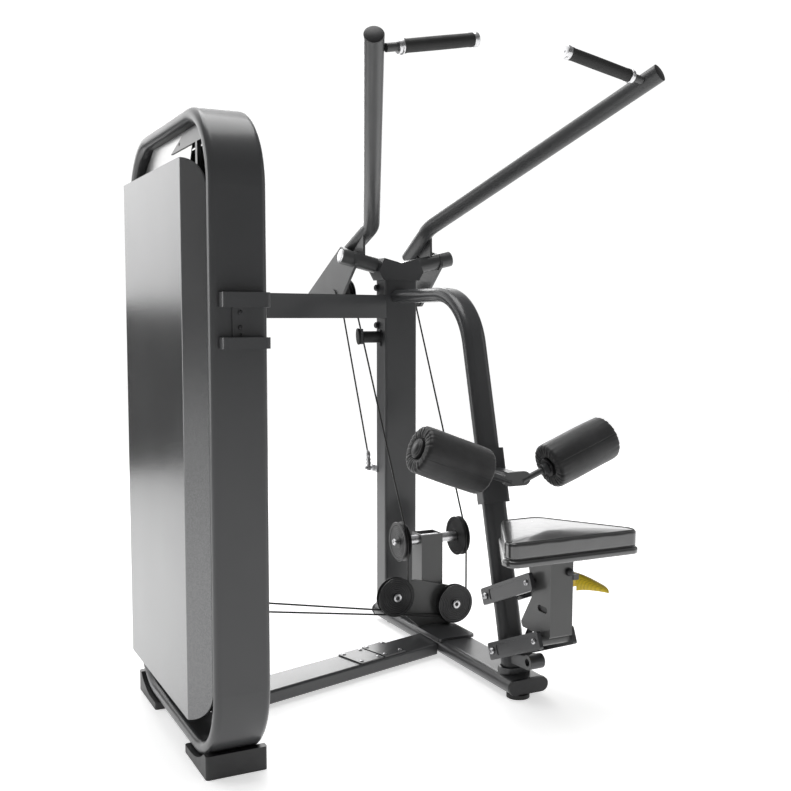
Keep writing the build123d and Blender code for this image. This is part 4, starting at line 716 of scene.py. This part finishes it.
for label, sign in SIDES:
    arm = f"{label}_arm"
    start = mirrored(GRIP_IN, sign)
    axis = (mirrored(GRIP_TIP, sign) - start).normalized()
    grip = lathe(f"{label}_rubber_grip", sleeve_profile(), start, axis, RUBBER, arm, "soft_rubber", 56, 40)
    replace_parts(grip, f"{label}_grip")
    collar = [
        (0.0121, 0.034), (0.0180, 0.034), (0.0190, 0.035), (0.0190, 0.0435), (0.0215, 0.0445),
        (0.0220, 0.0455), (0.0220, 0.0488), (0.0210, 0.0500), (0.0121, 0.0500),
    ]
    ring = lathe(f"{label}_grip_flange", collar, start, axis, ALUMINIUM, arm, "bright_aluminium", 64, 30)
    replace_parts(ring, f"{label}_grip_collars")
    tip = [
        (AXIS_R, -0.0035), (0.0030, -0.0035), (0.0034, -0.0004), (0.0160, 0.0), (0.0196, -0.0014),
        (0.0206, -0.0036), (0.0206, -0.0125), (0.0196, -0.0140), (0.0196, -0.0160), (AXIS_R, -0.0160),
    ]
    tip = [(radius, HANDLE + height) for radius, height in tip]
    lathe(f"{label}_grip_end_cap", tip, start, axis, ALUMINIUM, arm, "bright_aluminium", 64, 30)
    # cap over the outer end of the hub: plated steel on the left and blackened steel on the right, the dark right
    # cap being painted shade on the far side
    hub_axis = Vector((sign * math.cos(HUB_LEAN), 0, math.sin(HUB_LEAN)))
    hub_end = HUB_MIDDLE + hub_axis * HUB_REACH
    disc = [
        (AXIS_R, 0.0042), (0.0120, 0.0040), (0.0205, 0.0030), (0.0238, 0.0012), (0.0240, -0.0004),
        (AXIS_R, -0.0004),
    ]
    # painted shade: the far right cap gets dark steel where the near left one is bright
    finish = STEEL if sign < 0 else DARK_STEEL
    lathe(f"{label}_hub_cap", disc, hub_end, hub_axis, finish, arm, "plated_steel", 56)
    # plug in the open top of the arm tube, and the rubber stop under the lever plate
    tube_top = mirrored(ARM_TOP, sign)
    tube_way = (tube_top - mirrored(ARM_BEND, sign)).normalized()
    plug = [(AXIS_R, 0.0022), (0.0225, 0.0020), (0.0255, 0.0004), (0.0255, -0.001), (AXIS_R, -0.001)]
    lathe(f"{label}_tube_plug", plug, tube_top, tube_way, BLACK, arm, "moulded_black", 48)
    bumper = [
        (AXIS_R, 0.0), (0.0150, 0.0), (0.0160, -0.002), (0.0150, -0.014), (0.0130, -0.020), (0.0070, -0.024),
        (AXIS_R, -0.0245),
    ]
    at = (sign * 0.152, 0.085, 1.3182)
    lathe(f"{label}_arm_bumper", bumper, at, Z_AXIS, RUBBER, arm, "soft_rubber", 40)

# ------------------------------------------------------------------ fasteners
POST_FACE, POST_BOLT_Y = -0.0632, 0.022
for name, z in (("post_bolt_upper", 1.206), ("post_bolt_lower", 1.074)):
    bolt = hex_bolt(name, (POST_FACE, POST_BOLT_Y, z), (-1, 0, 0), 0.019, 0.011, DARK_STEEL, "frame")
    if name == "post_bolt_upper":
        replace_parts(bolt, "frame_bolts")
for label, sign in SIDES:
    x, y, z = hinge(f"lower_pulley_{label}_turn")
    ring = [(0.0070, 0.0), (0.0138, 0.0), (0.0142, 0.0010), (0.0136, 0.0030), (0.0118, 0.0040)]
    ring.append((0.0070, 0.0040))
    at = (x, y - 0.0142, z)
    lathe(f"lower_pulley_washer_{label}", ring, at, DOWN_Y, STEEL, "frame", "plated_steel", 56)
    cap_screw(f"lower_pulley_screw_{label}", (x, y - 0.0146, z), DOWN_Y, 0.0068, 0.0056, DARK_STEEL, "frame")

# caps of the four link pivots on each side, at the seat post and at the carriage
UPPER_NEAR, LOWER_NEAR = hinge("seat_link_swing")[1:], hinge("lower_link_swing")[1:]
UPPER_FAR = hinge("seat_level")[1:]
LOWER_FAR = tuple(low + far - near for low, far, near in zip(LOWER_NEAR, UPPER_FAR, UPPER_NEAR))
for side, sign in SIDES:
    for index, (y, z) in enumerate((UPPER_NEAR, LOWER_NEAR)):
        at = (sign * 0.0640, y, z)
        cap_screw(f"link_pivot_cap_{side}_{index}", at, (sign, 0, 0), 0.0105, 0.0055, STEEL, "frame")
    far_caps = ((UPPER_FAR, 0.0622, "upper_links"), (LOWER_FAR, 0.0632, "lower_links"))
    for index, ((y, z), reach, body) in enumerate(far_caps):
        at = (sign * reach, y, z)
        cap_screw(f"link_far_cap_{side}_{index}", at, (sign, 0, 0), 0.0085, 0.0045, STEEL, body)

BEAM_LEAN, BEAM_MIDDLE_Y = math.radians(15.6), -0.350


def beam_top(along, across):
    """Point over the floor beam, from places along and across its slanted middle line."""
    y = BEAM_MIDDLE_Y + along * math.tan(BEAM_LEAN)
    return along - across * math.sin(BEAM_LEAN), y + across * math.cos(BEAM_LEAN)


CORNERS = ((-0.35, -0.043), (0.35, -0.043), (-0.35, 0.043), (0.35, 0.043))
for plate, (mid, long, top) in enumerate(((-0.345, 0.092, 0.0540), (-0.255, 0.088, 0.0560))):
    for corner, (share, across) in enumerate(CORNERS):
        x, y = beam_top(mid + share * long, across)
        cap_screw(f"beam_plate_screw_{plate}_{corner}", (x, y, top), Z_AXIS, 0.0062, 0.0030, STEEL, "frame")
for index, z in enumerate((1.112, 1.078)):
    cap_screw(f"holder_screw_{index}", (-0.9165, -1.0442, z), DOWN_Y, 0.0055, 0.0030, DARK_STEEL, "frame")
SEAT_POST_LEAN, SEAT_POST_CORNER = math.radians(14.25), (-0.5024, 1.175)
for index, z in enumerate((0.585, 0.675)):
    y = SEAT_POST_CORNER[0] - (SEAT_POST_CORNER[1] - z) * math.tan(SEAT_POST_LEAN)
    hex_bolt(f"collar_bolt_{index}", (-0.0462, y, z), (-1, 0, 0), 0.014, 0.008, STEEL, "frame")
for side, sign in SIDES:
    low, high = Vector((sign * ANCHOR_X, 0.062, 0.550)), Vector((sign * ANCHOR_X, 0.068, 0.605))
    way = (high - low).normalized()
    for index, share in enumerate((0.42, 0.66)):
        at = low + way * (0.055 * share)
        hex_bolt(f"adjuster_nut_{side}_{index}", at, way, 0.0175, 0.0070, STEEL, "frame", washer=False)
    ferrule = [(0.0078, 0.050), (0.0086, 0.052), (0.0086, 0.060), (0.0062, 0.068), (0.0034, 0.072)]
    ferrule.append((0.0031, 0.050))
    lathe(f"cable_ferrule_{side}", ferrule, low, way, STEEL, "frame", "plated_steel", 32)

# ------------------------------------------------------------------ lever stop, carriage liner and knob
sleeve = [(0.0163, 0.0), (0.0195, 0.0), (0.0205, 0.002), (0.0205, 0.064), (0.0195, 0.066), (0.0163, 0.066)]
lathe("stop_sleeve", sleeve, (-0.0675, 0.003, 1.033), (-1, 0, 0), RUBBER, "frame", "soft_rubber", 48)

# pad on the end of the stop: a turned disc stood upright, drawn out in height and slightly slanted
disc = [(AXIS_R, 0.0), (0.0120, 0.0), (0.0150, 0.0015), (0.0158, 0.004), (0.0150, 0.0080), (AXIS_R, 0.0085)]
stop_pad = lathe("stop_pad", disc, (0, 0, 0), Z_AXIS, RUBBER, None, None, 48)
for vertex in stop_pad.data.vertices:
    x, y, z = vertex.co
    vertex.co = (-0.1432 - z, 0.002 + x * 0.88 + y * 0.25, 1.035 + y * 1.85)
place(stop_pad, "frame", "soft_rubber")

# black plate behind the long hole in the left side of the carriage: painted shade standing for the dark inside of
# the tube
window = [(-1.010, 0.280), (-0.950, 0.280), (-0.950, 0.315), (-1.010, 0.315)]
liner_verts = [(x, y, z) for x in (-0.0325, -0.0315) for y, z in window]
liner_faces = [(0, 1, 2, 3), (7, 6, 5, 4), (0, 4, 5, 1), (1, 5, 6, 2), (2, 6, 7, 3), (3, 7, 4, 0)]
new_mesh("carriage_slot_shade_plate", liner_verts, liner_faces, BLACK, "seat", "moulded_black", False)

# round knob at the top of the carriage's back
knob = [(AXIS_R, 0.0120), (0.0060, 0.0118), (0.0098, 0.0100), (0.0112, 0.0070), (0.0108, 0.0), (AXIS_R, 0.0)]
lathe("release_knob", knob, (0.0215, -1.0195, 0.404), DOWN_Y, BLACK, "seat", "moulded_black", 40)

# ------------------------------------------------------------------ height lever
LEVER_PIN = hinge("height_lever_lift")
PADDLE_IN, PADDLE_LONG, SHEET = 0.048, 0.094, 0.0016
LONG_CUTS, TURN_CUTS = 24, 26


def perforated():
    """Yellow sheet with rows of small dark holes."""
    mat, nodes, links, shader = material("perforated_yellow_sheet")
    where = coords(nodes, links)
    dots = node(nodes, "ShaderNodeTexVoronoi", Scale=330.0, Randomness=0.0)
    links.new(where, dots.inputs["Vector"])
    hole = ramp(nodes, (0.02, 0.015, 0.005), (0.70, 0.52, 0.02), 0.22, 0.30)
    links.new(dots.outputs["Distance"], hole.inputs["Fac"])
    links.new(hole.outputs["Color"], shader.inputs["Base Color"])
    bump_from(nodes, links, shader, hole.outputs["Color"], 0.5, 0.0008)
    shader.inputs["Roughness"].default_value = 0.33
    return mat


def paddle_point(along, turn, layer):
    """Point of the arched sheet, along from 0 at the hinge to 1 at the tip and turned round the arch."""
    a = math.radians(turn)
    flare = 0.80 + 0.55 * math.sin(math.pi * min(1.0, along * 1.15) * 0.5)
    wide, tall = (0.0215 + layer) * flare, (0.0225 + layer) * (1.0 - 0.35 * along)
    droop = 0.036 * along**1.4 + 0.018 * (1 - math.sin(a)) * (1 - along)
    y = LEVER_PIN[1] - 0.010 * along + wide * math.cos(a)
    return PADDLE_IN + PADDLE_LONG * along, y, 0.374 - droop + tall * math.sin(a)


def lever_sheet():
    """Perforated paddle: an arch that starts at the hinge, drops to its free end and opens downwards."""
    verts, faces = [], []
    for layer in (0.0, SHEET):
        for i in range(LONG_CUTS + 1):
            for j in range(TURN_CUTS + 1):
                verts.append(paddle_point(i / LONG_CUTS, 200 * j / TURN_CUTS - 10, layer))
    row = TURN_CUTS + 1
    size = (LONG_CUTS + 1) * row
    for i in range(LONG_CUTS):
        for j in range(TURN_CUTS):
            a = i * row + j
            faces.append([a, a + 1, a + row + 1, a + row])
            faces.append([size + a, size + a + row, size + a + row + 1, size + a + 1])
    for i in range(LONG_CUTS):
        for j in (0, TURN_CUTS):
            a = i * row + j
            faces.append([a, a + row, size + a + row, size + a])
    for j in range(TURN_CUTS):
        for i in (0, LONG_CUTS):
            a = i * row + j
            faces.append([a, size + a, size + a + 1, a + 1])
    return new_mesh("lever_paddle", verts, faces, perforated(), "height_lever", "yellow_lever", True, 40)


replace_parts(lever_sheet(), "height_lever")
barrel = [(0.0031, -0.013), (0.0060, -0.013), (0.0068, -0.012), (0.0068, 0.012), (0.0060, 0.013)]
barrel.append((0.0031, 0.013))
lathe("lever_barrel", barrel, LEVER_PIN, Y_AXIS, BLACK, "height_lever", "moulded_black", 32)

# ------------------------------------------------------------------ camera
EYE = Vector((-1.659, -3.3312, 1.10))
AZIMUTH, TILT_DOWN = math.radians(-26.4501), math.radians(4.4848)
LENS, SHIFT = 47.44217, (-0.000455, 0.005209)
back = Vector((
    math.sin(AZIMUTH) * math.cos(TILT_DOWN), -math.cos(AZIMUTH) * math.cos(TILT_DOWN), math.sin(TILT_DOWN),
))
right = Vector(Z_AXIS).cross(back).normalized()
up = back.cross(right)
camera = bpy.data.cameras.new("photo_camera")
camera.sensor_width, camera.lens = 36.0, LENS
camera.shift_x, camera.shift_y = SHIFT
eye = bpy.data.objects.new("photo_camera", camera)
eye.matrix_world = Matrix((
    (right.x, up.x, back.x, EYE.x), (right.y, up.y, back.y, EYE.y), (right.z, up.z, back.z, EYE.z),
    (0, 0, 0, 1),
))
SCENE.collection.objects.link(eye)
SCENE.camera = eye


# ------------------------------------------------------------------ floor and dark card
def sheet(name, finish, corners, dark, light, roughness, glow=0.0):
    """One flat face of the stage, in a plain matt material that may glow a little."""
    mat, nodes, links, shader = material(finish)
    vary(nodes, links, shader, coords(nodes, links), dark, light, 0.8)
    shader.inputs["Roughness"].default_value = roughness
    shader.inputs["Emission Color"].default_value = (1, 1, 1, 1)
    shader.inputs["Emission Strength"].default_value = glow
    data = bpy.data.meshes.new(name)
    data.from_pydata(corners, [], [(0, 1, 2, 3)])
    data.materials.append(mat)
    made = bpy.data.objects.new(name, data)
    SCENE.collection.objects.link(made)
    return made


REACH = 14.0
floor_corners = [(-REACH, -REACH, 0), (REACH, -REACH, 0), (REACH, REACH, 0), (-REACH, REACH, 0)]
sheet("floor", "pale_floor", floor_corners, (0.93, 0.93, 0.93), (0.95, 0.95, 0.95), 0.9, glow=0.55)
# the card stands behind the machine, where the glossy cover mirrors it as a dark band
card_corners = [(-3.6, 4.0, 0.02), (-1.35, 4.0, 0.02), (-1.35, 4.0, 1.20), (-3.6, 4.0, 1.20)]
card = sheet("dark_card", "dark_card", card_corners, (0.02, 0.02, 0.02), (0.03, 0.03, 0.03), 1.0)
card.visible_camera = False
card.visible_shadow = False

# ------------------------------------------------------------------ world: grey surroundings, bright behind
world = bpy.data.worlds.new("studio")
SCENE.world = world
world.use_nodes = True
nodes, links = world.node_tree.nodes, world.node_tree.links
nodes.clear()
out = nodes.new("ShaderNodeOutputWorld")
direction = nodes.new("ShaderNodeTexCoord")
split = nodes.new("ShaderNodeSeparateXYZ")
links.new(direction.outputs["Generated"], split.inputs["Vector"])
by_height = ramp(nodes, (0.30,) * 3, (1.6,) * 3)
for position, value in ((0.47, 0.30), (0.5, 0.55), (0.60, 0.80), (0.78, 0.55)):
    by_height.color_ramp.elements.new(position).color = (value,) * 3 + (1,)
height = map_range(nodes, links, split.outputs["Z"], (-1.0, 1.0), (0.0, 1.0))
links.new(height.outputs["Result"], by_height.inputs["Fac"])
behind = map_range(nodes, links, split.outputs["Y"], (0.30, 0.92), (0.30, 3.1))
behind.interpolation_type = "SMOOTHSTEP"
strength = node(nodes, "ShaderNodeMath", operation="MULTIPLY")
links.new(by_height.outputs["Color"], strength.inputs[0])
links.new(behind.outputs["Result"], strength.inputs[1])
lit = nodes.new("ShaderNodeBackground")
links.new(strength.outputs["Value"], lit.inputs["Strength"])
plain = node(nodes, "ShaderNodeBackground", Color=(1, 1, 1, 1), Strength=1.05)
ray = nodes.new("ShaderNodeLightPath")
choose = nodes.new("ShaderNodeMixShader")
links.new(ray.outputs["Is Camera Ray"], choose.inputs["Fac"])
links.new(lit.outputs["Background"], choose.inputs[1])
links.new(plain.outputs["Background"], choose.inputs[2])
links.new(choose.outputs["Shader"], out.inputs["Surface"])


# ------------------------------------------------------------------ lights
def area(name, at, to, width, height, power):
    """Soft rectangular light that faces a point."""
    data = bpy.data.lights.new(name, "AREA")
    data.shape = "RECTANGLE"
    data.size, data.size_y, data.energy = width, height, power
    made = bpy.data.objects.new(name, data)
    made.location = at
    made.rotation_euler = (Vector(to) - Vector(at)).to_track_quat("-Z", "Y").to_euler()
    SCENE.collection.objects.link(made)


area("top_soft", (-0.6, -0.2, 4.4), (-0.4, -0.4, 0.6), 2.6, 2.6, 75)
area("left_strip", (-4.2, 1.4, 1.8), (-0.8, -0.7, 0.9), 0.8, 3.0, 28)
area("right_fill", (3.6, -2.6, 2.2), (0.0, -0.6, 0.9), 1.6, 2.4, 10)
area("back_rim", (0.8, 4.0, 2.6), (-0.2, -0.2, 1.0), 3.0, 2.0, 60)
SCENE.view_settings.view_transform = "Standard"
SCENE.view_settings.look = "None"
SCENE.view_settings.exposure = 0.0
